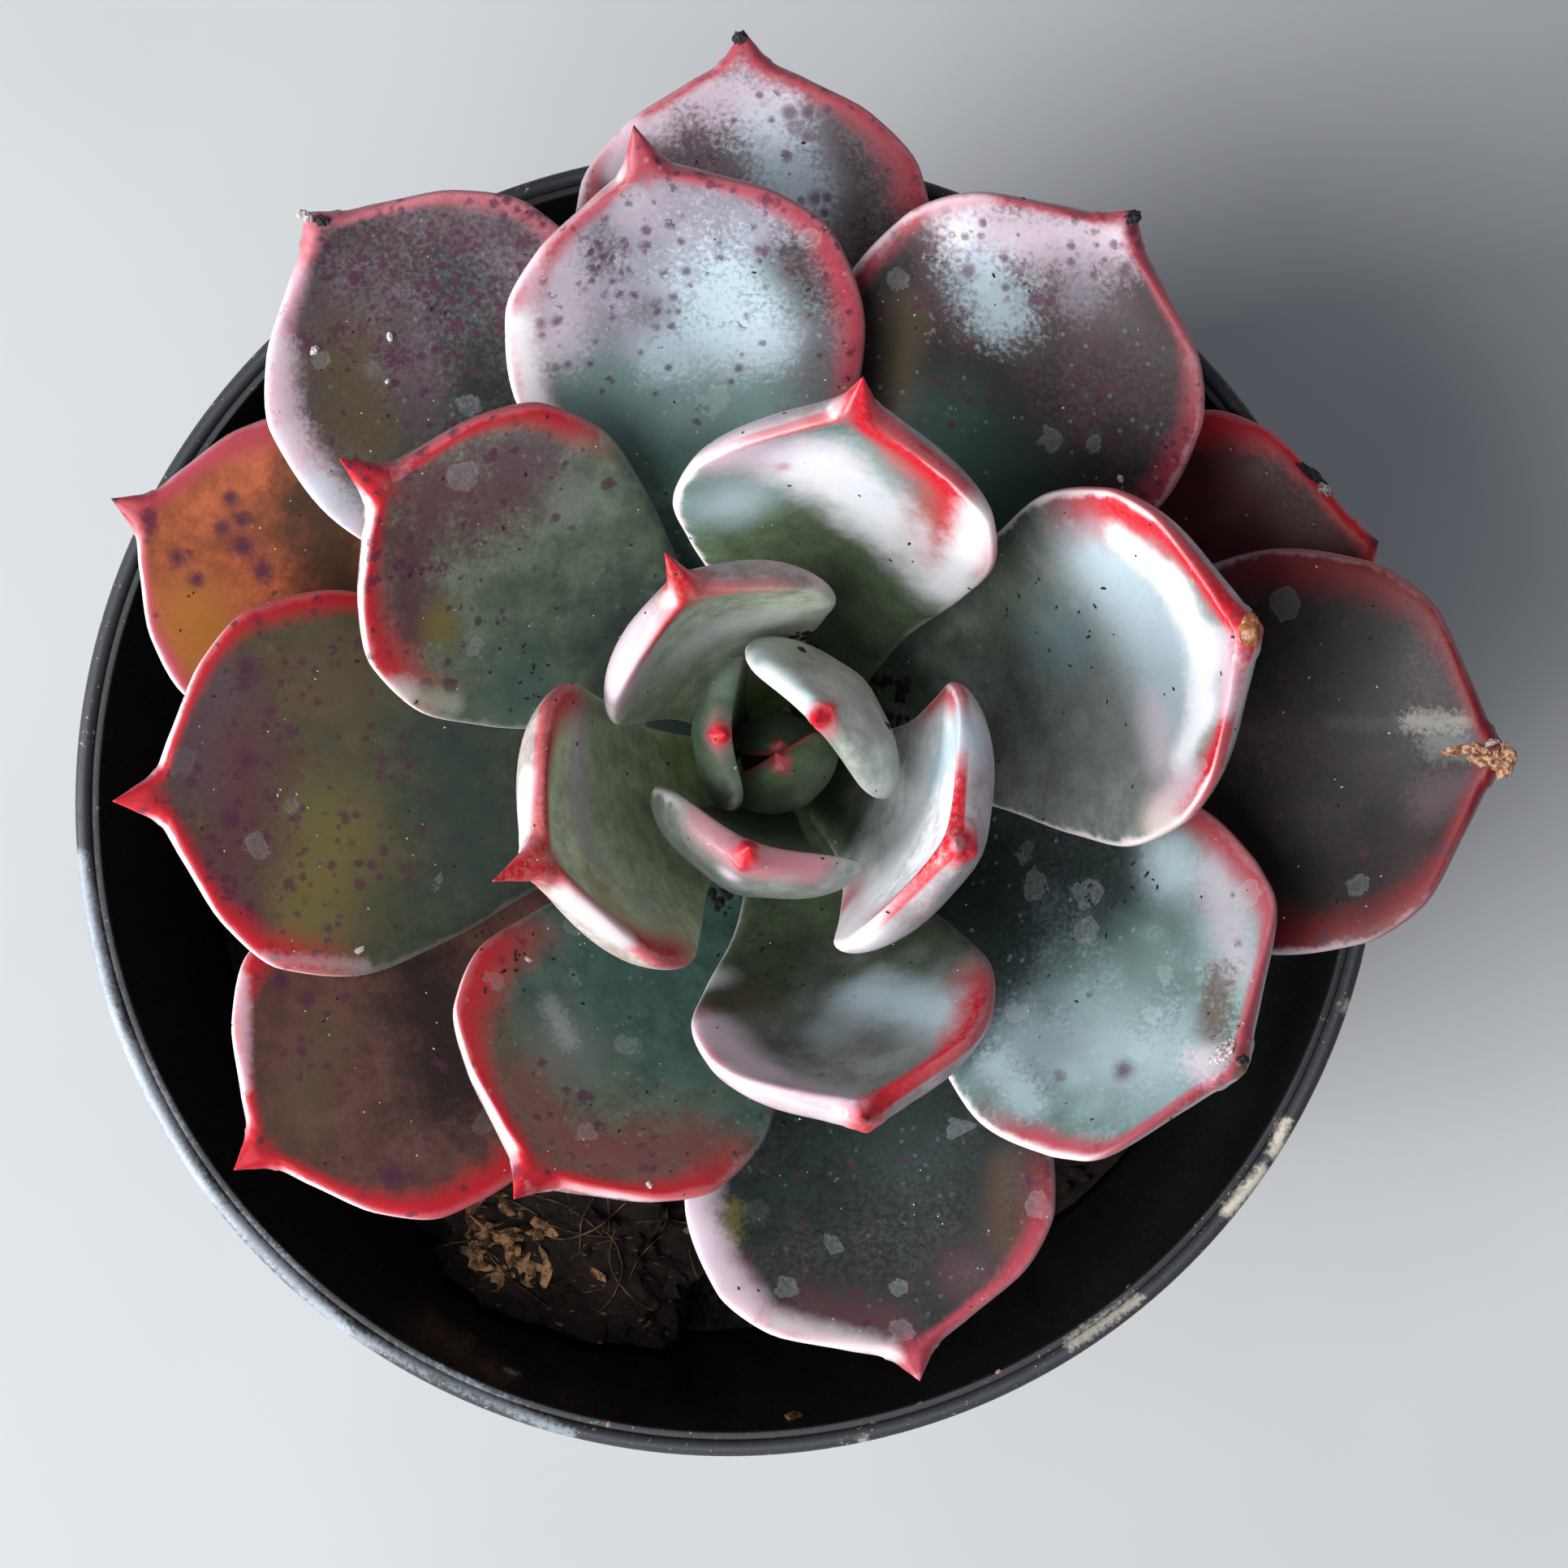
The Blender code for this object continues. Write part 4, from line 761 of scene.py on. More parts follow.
def blend(share, first, second, mode="MIX"):
    """A mix of two colours; one of the three is a wire."""
    tree = next(value.tree for value in (share, first, second) if isinstance(value, Wire))
    settings = {"data_type": "RGBA", "blend_type": mode, "clamp_factor": True}
    return add_node(tree, "ShaderNodeMix", {0: share, 6: first, 7: second}, **settings)[2]


def object_place(tree):
    return add_node(tree, "ShaderNodeTexCoord")["Object"]


def clouds(tree, size, detail=2.0, roughness=0.5, stretch=None):
    """Soft noise whose features are about size metres across."""
    place = object_place(tree)
    if stretch:
        place = add_node(tree, "ShaderNodeMapping", {"Vector": place, "Scale": stretch})[0]
    inputs = {"Vector": place, "Scale": 1.0 / size, "Detail": detail, "Roughness": roughness}
    return add_node(tree, "ShaderNodeTexNoise", inputs)["Fac"]


def cells(tree, size):
    """Random cells about size metres apart: the distance to a cell's middle, and each cell's own numbers."""
    found = add_node(tree, "ShaderNodeTexVoronoi", {"Vector": object_place(tree), "Scale": 1.0 / size})
    return found["Distance"], add_node(tree, "ShaderNodeSeparateColor", {0: found["Color"]})


def new_group(name, takes, gives):
    """An empty node group whose inputs and outputs are named in two lists, with commas between them."""
    tree = bpy.data.node_groups.new(name, "ShaderNodeTree")
    for labels, way in ((takes, "INPUT"), (gives, "OUTPUT")):
        for label in filter(None, labels.split(", ")):
            kind = SOCKET_KINDS.get(label, "NodeSocketFloat")
            tree.interface.new_socket(name=label, in_out=way, socket_type=kind)
    return tree, add_node(tree, "NodeGroupInput"), tree.nodes.new("NodeGroupOutput").inputs


def add_group(tree, name, facts, own=None):
    """Places a shared group and feeds each of its inputs the fact of the same name; gives what comes out."""
    node = tree.nodes.new("ShaderNodeGroup")
    node.node_tree = GROUPS[name]
    for label, value in {**facts, **(own or {})}.items():
        if label in node.inputs:
            feed(node.inputs[label], value)
    return {socket.name: Wire(socket) for socket in node.outputs}


def new_material(name):
    """A material with only a Principled BSDF and its output; gives it with its tree and its inputs."""
    material = bpy.data.materials.new(name)
    material.use_nodes = True
    tree = material.node_tree
    return material, tree, tree.nodes["Principled BSDF"].inputs


def feed_bump(tree, inputs, height, distance, strength):
    bump = add_node(tree, "ShaderNodeBump", {"Height": height, "Distance": distance, "Strength": strength})
    feed(inputs["Normal"], bump[0])


# Groups that the materials share, most of them the leaves'. Inputs and outputs are named after facts: where a
# point lies on its leaf, the grain there, what the leaf's look says, and the colour so far.

SOCKET_KINDS = {
    **dict.fromkeys("colour foot middle outer back red end tint".split(), "NodeSocketColor"),
    **dict.fromkeys("place way".split(), "NodeSocketVector"),
}


def leaf_places_group():
    """Where a point lies on its leaf: side from -1 to 1, share of the length, millimetres to edge and tip."""
    labels = ("side", "share", "edge", "to tip", "upper", "across")
    tree, _, out = new_group("leaf places", "", ", ".join(labels))
    for attribute, three in (("blade", labels[:3]), ("rim", labels[3:])):
        source = add_node(tree, "ShaderNodeAttribute", attribute_type="GEOMETRY", attribute_name=attribute)
        parts = add_node(tree, "ShaderNodeSeparateXYZ", {0: source["Vector"]})
        for number, label in enumerate(three):
            feed(out[label], parts[number])
    return tree


def leaf_grain_group():
    """The noises that a material's effects share, from broad drifts to fine grain."""
    tree, _, out = new_group("leaf grain", "", "broad, medium, fine")
    for label, size, detail in GRAIN_SIZES:
        feed(out[label], clouds(tree, size, detail, 0.66))
    return tree


def blade_tone_group():
    """The blade's own colour from its foot to its outer half, mottled, and another on its back."""
    takes = "share, upper, broad, medium, fine, foot, middle, outer, back"
    tree, given, out = new_group("blade tone", takes, "colour")
    share = given["share"] + (given["broad"] - 0.5) * 0.7
    colour = blend(share.span(0.12, 0.45), given["foot"], given["middle"])
    colour = blend(share.span(0.50, 0.82), colour, given["outer"])
    colour = blend(given["upper"].span(-0.2, 0.1, 0.8, 0.0), colour, given["back"])
    mottle = given["medium"].span(0.3, 0.7, 0.76, 1.24) * given["fine"].span(0.3, 0.7, 0.90, 1.10)
    grey = add_node(tree, "ShaderNodeCombineColor", {0: mottle, 1: mottle, 2: mottle})[0]
    feed(out["colour"], blend(1.0, colour, grey, "MULTIPLY"))
    return tree


def red_margin_group():
    """The red band along a leaf's margin and down from its point, and the pale line at the very edge, painted
    brightest as highlight on the edges that face the window.
    """
    takes = "colour, red, end, side, edge, to tip, across, share, upper, medium, fine, "
    takes += "left, left from, right, right from, tip red"
    tree, given, out = new_group("red margin", takes, "colour, margin")
    left = given["side"].span(-0.4, 0.4)
    wide = mix(left, given["right"], given["left"]) * given["medium"].span(0.25, 0.75, 0.88, 1.15)
    wide = wide * given["upper"].span(-0.4, 0.15, 0.15, 1.0)
    start = mix(left, given["right from"], given["left from"])
    begun = given["share"] - start + (given["medium"] - 0.5) * 0.07
    near = given["edge"] / wide.or_more(0.02)
    band = near.span(0.45, 2.0, 1.0, 0.0) * begun.span(-0.12, 0.08) * wide.span(0.05, 0.3)
    down = (given["to tip"] + abs(given["across"])) / given["tip red"].or_more(0.02)
    mask = band.or_more(down.span(0.6, 1.5, 1.0, 0.0)) * given["fine"].span(0.3, 0.6, 0.82, 1.0)
    colour = blend(mask, given["colour"], given["red"])
    # The pale line is a thin pale cuticle, strengthened as painted highlight on the edges that face the
    # window
    facing = add_node(tree, "ShaderNodeTexCoord")["Normal"].vector("DOT_PRODUCT", LIP_HIGHLIGHT_SIDE)
    line = (given["edge"] / given["medium"].span(0.35, 0.65, 0.25, 0.45)).span(0.6, 2.2, 1.0, 0.0)
    line = line * facing.span(0.0, 0.75, 0.12, 0.95) * given["upper"].span(0.15, 0.6, 1.0, 0.3)
    line = line * given["share"].span(0.1, 0.4) * given["to tip"].span(1.5, 4.0)
    colour = blend(line, colour, LIP_HIGHLIGHT_PINK)
    feed(out["colour"], blend(given["to tip"].span(0.30, 0.65, 1.0, 0.0), colour, given["end"]))
    feed(out["margin"], mask)
    return tree


def wax_group():
    """The powdery blue-white bloom on a leaf's outer half, grainy and rubbed off in places."""
    tree, given, out = new_group("wax bloom", "colour, wax, share, margin, broad, fine", "colour")
    mask = given["broad"].span(0.36, 0.62, 0.2, 1.0) * given["share"].span(0.4, 0.75, 0.05, 1.0)
    mask = mask * given["fine"].span(0.40, 0.62, 0.15, 1.0)
    mask = mask * given["margin"].span(0.1, 0.9, 1.0, 0.15) * given["wax"]
    feed(out["colour"], blend(mask * 0.8, given["colour"], WAX_AND_HIGHLIGHT_BLUE))
    return tree


def freckles_group():
    """Soft dark spots of two sizes in clusters, most of them on the outer half of the upper face."""
    takes = "colour, freckles, share, upper, broad, medium, fine"
    tree, given, out = new_group("freckles", takes, "colour")
    chance = given["share"].span(0.40, 0.80) * given["freckles"]
    chance = chance * (given["medium"] + given["broad"] * 0.6).span(0.66, 0.88, 0.04, 0.95)
    chance = chance * given["upper"].span(-0.3, 0.2, 0.3, 1.0)
    wobble = (given["fine"] - 0.5) * 0.7
    spots = []
    for size in FRECKLE_SPACINGS:
        distance, picks = cells(tree, size)
        away = distance + wobble - picks[0] * 0.30
        spots.append(away.span(-0.05, 0.30, 1.0, 0.0) * (chance - picks[1]).span(0.0, 0.1))
    feed(out["colour"], blend(spots[0].or_more(spots[1]) * 0.74, given["colour"], SPOT_PLUM))
    return tree


def water_marks_group():
    """Dried drops: thin pale blots with a paler outline, a millimetre or two across, and pale specks."""
    tree, given, out = new_group("water marks", "colour, marks, medium, fine", "colour, dried")
    distance, picks = cells(tree, DROP_SPACING)
    wobble = (given["medium"] - 0.5) * 0.7 + (given["fine"] - 0.5) * 0.35
    inside = distance + wobble - (picks[0] * 0.22 + 0.22)
    disc = inside.span(-0.06, 0.02, 0.55, 0.0)
    ring = abs(inside + 0.03).span(0.0, 0.05, 0.4, 0.0)
    blots = (disc + ring) * (picks[1] + given["marks"] * 0.32).span(0.95, 1.0)
    distance, picks = cells(tree, SPECK_SPACING)
    specks = distance.span(0.10, 0.28, 0.9, 0.0) * picks[0].span(0.66, 0.72) * given["marks"]
    mask = blots.or_more(specks, clamp=True) * given["fine"].span(0.3, 0.6, 0.6, 1.0)
    feed(out["colour"], blend(mask * 0.26, given["colour"], DRIED_LIME))
    feed(out["dried"], mask)
    return tree


def patch_group():
    """One soft-edged streak of colour from a place to a place, broken up by grain."""
    takes = "colour, place, way, radius, tint, strength, grain, medium, fine"
    tree, given, out = new_group("patch", takes, "colour")
    way = given["way"]
    offset = object_place(tree).vector("SUBTRACT", given["place"], "Vector")
    whole = way.vector("DOT_PRODUCT", way).or_more(1e-12)
    share = offset.vector("DOT_PRODUCT", way).calc("DIVIDE", whole, clamp=True)
    part = add_node(tree, "ShaderNodeVectorMath", {0: way, "Scale": share}, operation="SCALE")["Vector"]
    away = offset.vector("DISTANCE", part) / (given["radius"] * MM) + (given["medium"] - 0.5) * 0.9
    away = away + (given["fine"] - 0.5) * (given["grain"] * 3.4)
    mask = away.span(0.1, 1.45, 1.0, 0.0) * given["strength"]
    feed(out["colour"], blend(mask, given["colour"], given["tint"]))
    return tree


GROUPS = {
    "places": leaf_places_group(),
    "grain": leaf_grain_group(),
    "tone": blade_tone_group(),
    "margin": red_margin_group(),
    "wax": wax_group(),
    "freckles": freckles_group(),
    "marks": water_marks_group(),
    "patch": patch_group(),
}


def add_patches(tree, facts, patches):
    """Lays patches over the colour so far, each with its place and the way to its other end."""
    for patch, place, way in patches:
        facts.update(add_group(tree, "patch", facts, {**patch._asdict(), "place": place, "way": way}))


def leaf_material(name, look, patches=(), bloom=()):
    material, tree, inputs = new_material(name)
    facts = {label.replace("_", " "): value for label, value in look._asdict().items()}
    for group in ("places", "grain", "tone"):
        facts.update(add_group(tree, group, facts))
    add_patches(tree, facts, patches)
    facts.update(add_group(tree, "margin", facts))
    for group in ("wax", "freckles"):
        if facts[group]:
            facts.update(add_group(tree, group, facts))
    # Pale wax bloom and painted highlights, laid over the margins
    add_patches(tree, facts, bloom)
    rough = facts["fine"].span(0.3, 0.7, look.rough - 0.05, look.rough + 0.07)
    if look.marks:
        facts.update(add_group(tree, "marks", facts))
        rough = rough + facts["dried"] * 0.15
    feed(inputs["Base Color"], facts["colour"])
    feed(inputs["Roughness"], rough)
    feed(inputs["Specular IOR Level"], 0.45)
    feed(inputs["Sheen Weight"], 0.05)
    feed(inputs["Sheen Roughness"], 0.4)
    feed(inputs["Sheen Tint"], (0.80, 0.88, 1.0))
    feed_bump(tree, inputs, facts["fine"], 0.03 * MM, 0.15 + 0.45 * look.freckles)
    return material


def grain_material(name, dark, light, size, rough=0.85):
    """A dry, crumbly finish between two tones."""
    material, tree, inputs = new_material(name)
    tone = clouds(tree, size, 3.0, 0.7)
    feed(inputs["Base Color"], blend(tone.span(0.36, 0.64), dark, light))
    feed(inputs["Roughness"], rough)
    feed_bump(tree, inputs, tone, 0.12 * MM, 0.8)
    return material


def bit_material(name):
    return grain_material(name, *BIT_FINISHES[name])


def leaf_slot(number):
    return next((slot for slot, numbers in COLOURED_LEAVES.items() if number in numbers), "leaf_teal")


# The leaves


def leaf_height(number):
    """The height on the stem where a leaf grows."""
    return LOWEST_LEAF_HEIGHT + (LAST_LEAF - number) * LEAF_STEP


def stem_radius(height):
    share = (height - LOWEST_LEAF_HEIGHT) / (LAST_LEAF * LEAF_STEP)
    return STEM_RADIUS - (STEM_RADIUS - STEM_TOP_RADIUS) * min(1.0, max(0.0, share))


def foot_distance(leaf):
    """How far from the stem's middle a leaf begins."""
    if leaf.number <= 1:
        return BUD_FOOT_DISTANCE
    upper_half = UPPER_SHARE * FOOT_THICKNESS * leaf.thickness * MM
    clear = FOOT_GAP + upper_half * math.sin(math.radians(leaf.base_rise))
    return stem_radius(leaf_height(leaf.number)) + clear


def leaf_line(leaf):
    """Stations along a leaf's middle line: distance along it, then out, sideways, up and rise."""
    length = leaf.length * MM
    blade = (leaf.length - leaf.point) * MM
    step = length / LINE_STEPS
    stations = [(0.0, 0.0, 0.0, 0.0, math.radians(leaf.base_rise))]
    out = side = up = 0.0
    for i in range(LINE_STEPS):
        share = (i + 0.5) / LINE_STEPS
        place = share * length / blade
        if place > POINT_START:
            place = POINT_START + (share * length - blade) / (leaf.point * MM)
        rise = leaf.base_rise + (leaf.tip_rise - leaf.base_rise) * share
        rise = math.radians(rise - leaf.hook * eased((place - HOOK_PLACE) / TIP_CHANGE))
        heading = math.radians(leaf.turn) * share
        out += step * math.cos(rise) * math.cos(heading)
        side += step * math.cos(rise) * math.sin(heading)
        up += step * math.sin(rise)
        stations.append((step * (i + 1), out, side, up, rise))
    return stations


def station_at(stations, distance):
    step = stations[1][0]
    i = min(len(stations) - 2, int(distance / step))
    share = (distance - stations[i][0]) / step
    return [low + (high - low) * share for low, high in zip(stations[i][1:], stations[i + 1][1:])]


Section = namedtuple("Section", "centre across above half thick hollow place distance")


def leaf_section(leaf, stations, place):
    """A leaf's section at a place along it: its centre, its directions, and its sizes."""
    blade = (leaf.length - leaf.point) * MM
    distance = place * blade if place <= POINT_START else blade + (place - POINT_START) * leaf.point * MM
    out, side, up, rise = station_at(stations, distance)
    share = distance / (leaf.length * MM)
    azimuth = math.radians(leaf.azimuth)
    heading = azimuth + math.radians(leaf.turn) * share
    outward = Vector((math.cos(azimuth), math.sin(azimuth), 0.0))
    sideways = Vector((-math.sin(azimuth), math.cos(azimuth), 0.0))
    beside = Vector((-math.sin(heading), math.cos(heading), 0.0))
    above = Vector((-math.sin(rise) * math.cos(heading), -math.sin(rise) * math.sin(heading), math.cos(rise)))
    roll = math.radians(leaf.roll) * share
    across = beside * math.cos(roll) + above * math.sin(roll)
    above = above * math.cos(roll) - beside * math.sin(roll)
    centre = Vector((STEM_X, STEM_Y, leaf_height(leaf.number) + up))
    centre += outward * (foot_distance(leaf) + out) + sideways * side
    wide = smooth_between(OUTLINE, place)
    if wide > 0.0:
        wide += leaf.full * math.exp(-(((place - FULL_PLACE) / FULL_SPREAD) ** 2))
    half = wide * leaf.width * MM / 2
    thick = min(smooth_between(THICKNESS, place) * leaf.thickness * MM, ROUNDEST_SECTION * half)
    opened = FOOT_HOLLOW + (1.0 - FOOT_HOLLOW) * min(1.0, place / FULL_HOLLOW_PLACE)
    closed = 1.0 - (1.0 - TIP_HOLLOW) * eased((place - TIP_HOLLOW_PLACE) / TIP_CHANGE)
    hollow = math.radians(leaf.hollow) * opened * closed
    return Section(centre, across, above, half, thick, hollow, place, distance)


def plumpness(side):
    """How much of its thickness a section has, from 1 in its middle to 0 at its sides."""
    return math.sqrt(max(0.0, 1.0 - abs(side) ** 3))


def section_point(section, around):
    """A point of the leaf's skin at an angle round its section."""
    if section.half == 0.0:
        return section.centre.copy()
    side = math.cos(around)
    bend = side * section.hollow
    radius = section.half / section.hollow
    face = UPPER_SHARE
    if math.sin(around) <= 0:
        keel = KEEL * math.exp(-((side / KEEL_WIDTH) ** 2)) * eased((section.place - 0.25) / 0.5)
        face = (UPPER_SHARE - 1.0) * (1.0 + keel * (1.0 - eased((section.place - 1.0) / 0.5)))
    offset = face * section.thick * plumpness(side)
    flat = radius * math.sin(bend) - offset * math.sin(bend)
    rise = radius * (1 - math.cos(bend)) + offset * math.cos(bend)
    return section.centre + section.across * flat + section.above * rise


def make_leaf(leaf, name, segments=LEAF_SEGMENTS, per_stretch=RINGS_PER_STRETCH):
    """A leaf shaped from a sphere whose poles are the leaf's foot and its tip."""
    places = [0.0]
    for low, high in zip(LEAF_RINGS, LEAF_RINGS[1:]):
        places += [low + (high - low) * (i + 1) / per_stretch for i in range(per_stretch)]
    rings = len(places) - 1
    piece = new_globe(name, segments, rings)
    mesh = piece.data
    stations = leaf_line(leaf)
    sections = [leaf_section(leaf, stations, place) for place in places]
    blade_values = []
    rim_values = []
    for vertex in mesh.vertices:
        way = vertex.co.normalized()
        section = sections[round(rings * math.acos(max(-1.0, min(1.0, -way.z))) / math.pi)]
        around = math.atan2(way.y, way.x)
        vertex.co = section_point(section, around)
        side = math.cos(around)
        edge = math.hypot(section.half * (1.0 - abs(side)), 0.5 * section.thick * plumpness(side)) / MM
        blade_values += [side, section.distance / (leaf.length * MM), edge]
        rim_values += [leaf.length - section.distance / MM, math.sin(around), side * section.half / MM]
    for attribute, values in (("blade", blade_values), ("rim", rim_values)):
        mesh.attributes.new(attribute, "FLOAT_VECTOR", "POINT").data.foreach_set("vector", values)
    smooth(piece)
    return piece


def surface_tree(pieces):
    """A search tree over the faces of some pieces."""
    corners, faces = [], []
    for piece in pieces:
        start = len(corners)
        corners += [vertex.co.copy() for vertex in piece.data.vertices]
        faces += [[start + corner for corner in face.vertices] for face in piece.data.polygons]
    return BVHTree.FromPolygons(corners, faces)


def seen_at(tree, x, y, height):
    """The point and normal that the camera sees at a pixel of the photograph, or the nearest at a height."""
    across = 2 * RIM_RADIUS / RIM_PIXELS
    middle = FRAME_PIXELS / 2
    eye = Vector((CAMERA_X, CAMERA_Y, POT_HEIGHT + CAMERA_ABOVE_RIM))
    way = Vector(((x - middle) * across, (middle - y) * across, -CAMERA_ABOVE_RIM)).normalized()
    point, normal, _, _ = tree.ray_cast(eye, way)
    if point is None:
        point, normal, _, _ = tree.find_nearest(eye + way * ((height - eye.z) / way.z))
    return point, normal


def find_places(piece, rows):
    """Each patch with its place on a piece's surface, and the way from there to its other end."""
    tree = surface_tree([piece])
    height = top_of(piece)
    found = []
    for patch in (Patch(*row) for row in rows):
        place = seen_at(tree, patch.x, patch.y, height)[0]
        end = seen_at(tree, patch.x2, patch.y2, height)[0] if patch.x2 else place
        found.append((patch, place, end - place))
    return found


def make_leaves():
    """The leaves and the bud; gives the leaves by number."""
    leaves = {}
    for leaf in LEAVES:
        name = f"leaf_{leaf.number:02d}"
        piece = make_leaf(leaf, name + "_skin")
        leaves[leaf.number] = piece
        patches = find_places(piece, PATCHES.get(leaf.number, ()))
        bloom = find_places(piece, BLOOM_AND_HIGHLIGHTS.get(leaf.number, ()))
        material = leaf_material(name, Look(*LOOKS[leaf.number]), patches, bloom)
        finish_piece(piece, material, leaf_slot(leaf.number), name)
    for leaf, word in zip(BUD_LEAVES, ("outer", "middle", "inner")):
        piece = make_leaf(leaf, f"bud_leaf_{word}", BUD_SEGMENTS, BUD_RINGS_PER_STRETCH)
        material = leaf_material(f"bud_{word}", Look(*LOOKS[leaf.number]))
        finish_piece(piece, material, "leaf_teal", "crown_bud")
        leaves[leaf.number] = piece
    make_bud_core()
    return leaves


def make_bud_core():
    """The growing tip, which the bud's leaves close round."""
    core = new_globe("bud_core", 32, 16)
    low = leaf_height(1)
    for vertex in core.data.vertices:
        way = vertex.co.normalized()
        height = low + max(0.0, (way.z + BUD_CORE_SINK) / (1 + BUD_CORE_SINK)) * BUD_CORE_HEIGHT
        vertex.co = Vector((STEM_X + way.x * BUD_CORE_RADIUS, STEM_Y + way.y * BUD_CORE_RADIUS, height))
    smooth(core)
    finish_piece(core, bit_material("growing_tip"), "leaf_teal", "crown_bud")


# Dried, scarred and spilt bits on the leaves


def rough_lump(name, detail, seed, depth):
    """A ball of radius one with a craggy skin."""
    lump = new_ball(name, detail)
    for vertex in lump.data.vertices:
        way = vertex.co.normalized()
        crags = noise.fractal(way * 1.6 + Vector((seed * 3.7, 0.0, 0.0)), 0.7, 2.0, 4)
        vertex.co = way * (1.0 + depth * crags)
    return lump


def laid_on(point, normal, turn, size):
    """The matrix that sizes a ball, turns it on a surface and sinks it in by half."""
    turned_round = upright(normal).to_matrix().to_4x4() @ Matrix.Rotation(turn, 4, "Z")
    return Matrix.Translation(point) @ turned_round @ Matrix.Diagonal((*size, 1.0))


def make_scabs(leaves):
    """Dried tips and scars, each on its own leaf where the photograph shows it."""
    finishes = {name: grain_material(f"dried_{name}", *look) for name, look in SCAB_FINISHES.items()}
    for i, scab in enumerate(SCABS):
        leaf = leaves[scab.leaf]
        point, normal = seen_at(surface_tree([leaf]), scab.x, scab.y, top_of(leaf))
        lump = rough_lump(f"leaf_{scab.leaf:02d}_scab_{i:02d}", 4, i, SCAB_DEPTHS.get(scab.finish, 0.5))
        size = (scab.long * MM / 2, scab.wide * MM / 2, scab.high * MM / 2)
        toward = Vector((math.cos(math.radians(scab.turn)), math.sin(math.radians(scab.turn)), 0.0))
        local = upright(normal).inverted() @ toward
        lump.data.transform(laid_on(point, normal, math.atan2(local.y, local.x), size))
        smooth_by_angle(lump, 40)
        finish_piece(lump, finishes[scab.finish], leaf_slot(scab.leaf))


def scattered(name, grains, material, slot):
    """One piece made of many small grains: each grain is its place, its normal, its turn and its size."""
    draw = random.Random(len(grains))
    kinds = [rough_lump(f"{name}_kind_{i}", 1, i, 0.4) for i in range(4)]
    copies = [placed_copy(kinds[draw.randrange(len(kinds))], laid_on(*grain)) for grain in grains]
    return finish_piece(join_copies(copies, kinds, name), material, slot)


def make_flecks(leaves):
    """Flecks of soil and pale dust on the leaves, and crumbs caught between the leaves of the crown."""
    draw = random.Random(FLECK_SEED)
    tree = surface_tree(leaves.values())

    def grain(x, y, smallest, largest, stretch):
        size = draw.uniform(smallest, largest) * MM
        turn = draw.uniform(0, math.pi)
        point, normal = seen_at(tree, x, y, POT_HEIGHT)
        return point, normal, turn, (size * draw.uniform(1.0, stretch), size, 0.6 * size)

    def somewhere():
        reach = ROSETTE_PIXELS * math.sqrt(draw.random())
        around = draw.uniform(0, 2 * math.pi)
        return ROSETTE_MIDDLE[0] + reach * math.cos(around), ROSETTE_MIDDLE[1] + reach * math.sin(around)

    dark = [grain(*somewhere(), 0.05, 0.11, 2.4) for _ in range(SOIL_FLECKS)]
    for x, y in FLECKED_PLACES:
        for _ in range(FLECKS_A_PLACE):
            dark.append(grain(draw.gauss(x, 34), draw.gauss(y, 28), 0.06, 0.13, 3.0))
    for x, y in CREVICES:
        for _ in range(CRUMBS_A_CREVICE):
            dark.append(grain(draw.gauss(x, 9), draw.gauss(y, 7), 0.12, 0.34, 1.8))
    scattered("soil_flecks", dark, bit_material("soil_fleck"), "potting_mix")
    pale = [grain(*somewhere(), 0.035, 0.075, 1.6) for _ in range(DUST_FLECKS)]
    pale += [grain(x, y, 0.16, 0.30, 1.8) for x, y in FLAKES]
    scattered("dust_flecks", pale, bit_material("dust"), "coir")


# The pot


def turned(name, profile, sides):
    """A solid made ring by ring: a circle is extruded and resized to each (radius, height) of a profile."""
    deselect_all()
    radius, height = profile[0]
    place = (0, 0, height)
    bpy.ops.mesh.primitive_circle_add(vertices=sides, radius=radius, location=place, fill_type="NOTHING")
    piece = named_new(name)
    select_only(piece)
    bpy.ops.object.transform_apply(location=True, rotation=True, scale=True)
    bpy.ops.object.mode_set(mode="EDIT")
    bpy.ops.mesh.select_all(action="SELECT")
    for wider, higher in profile[1:]:
        bpy.ops.mesh.extrude_region_move(TRANSFORM_OT_translate={"value": (0, 0, higher - height)})
        share = wider / radius
        bpy.ops.transform.resize(value=(share, share, 1.0), center_override=(0, 0, higher))
        radius, height = wider, higher
    bpy.ops.object.mode_set(mode="OBJECT")
    return piece


def close_ends(piece):
    """Fills a turned shape's first and last rings, and points its faces outwards."""
    select_only(piece)
    bpy.ops.object.mode_set(mode="EDIT")
    bpy.ops.mesh.select_all(action="DESELECT")
    bpy.ops.mesh.select_non_manifold()
    bpy.ops.mesh.edge_face_add()
    bpy.ops.mesh.select_all(action="SELECT")
    bpy.ops.mesh.normals_make_consistent(inside=False)
    bpy.ops.object.mode_set(mode="OBJECT")


def bevel_edges(piece, width, segments):
    bevel = piece.modifiers.new("rounded", "BEVEL")
    bevel.width = width
    bevel.segments = segments
    bevel.limit_method = "ANGLE"
    bevel.angle_limit = math.radians(30)
    apply_modifiers(piece)


def cut_with(piece, cutter):
    boolean = piece.modifiers.new("cut", "BOOLEAN")
    boolean.operation = "DIFFERENCE"
    boolean.object = cutter
    apply_modifiers(piece)
    bpy.data.objects.remove(cutter, do_unlink=True)


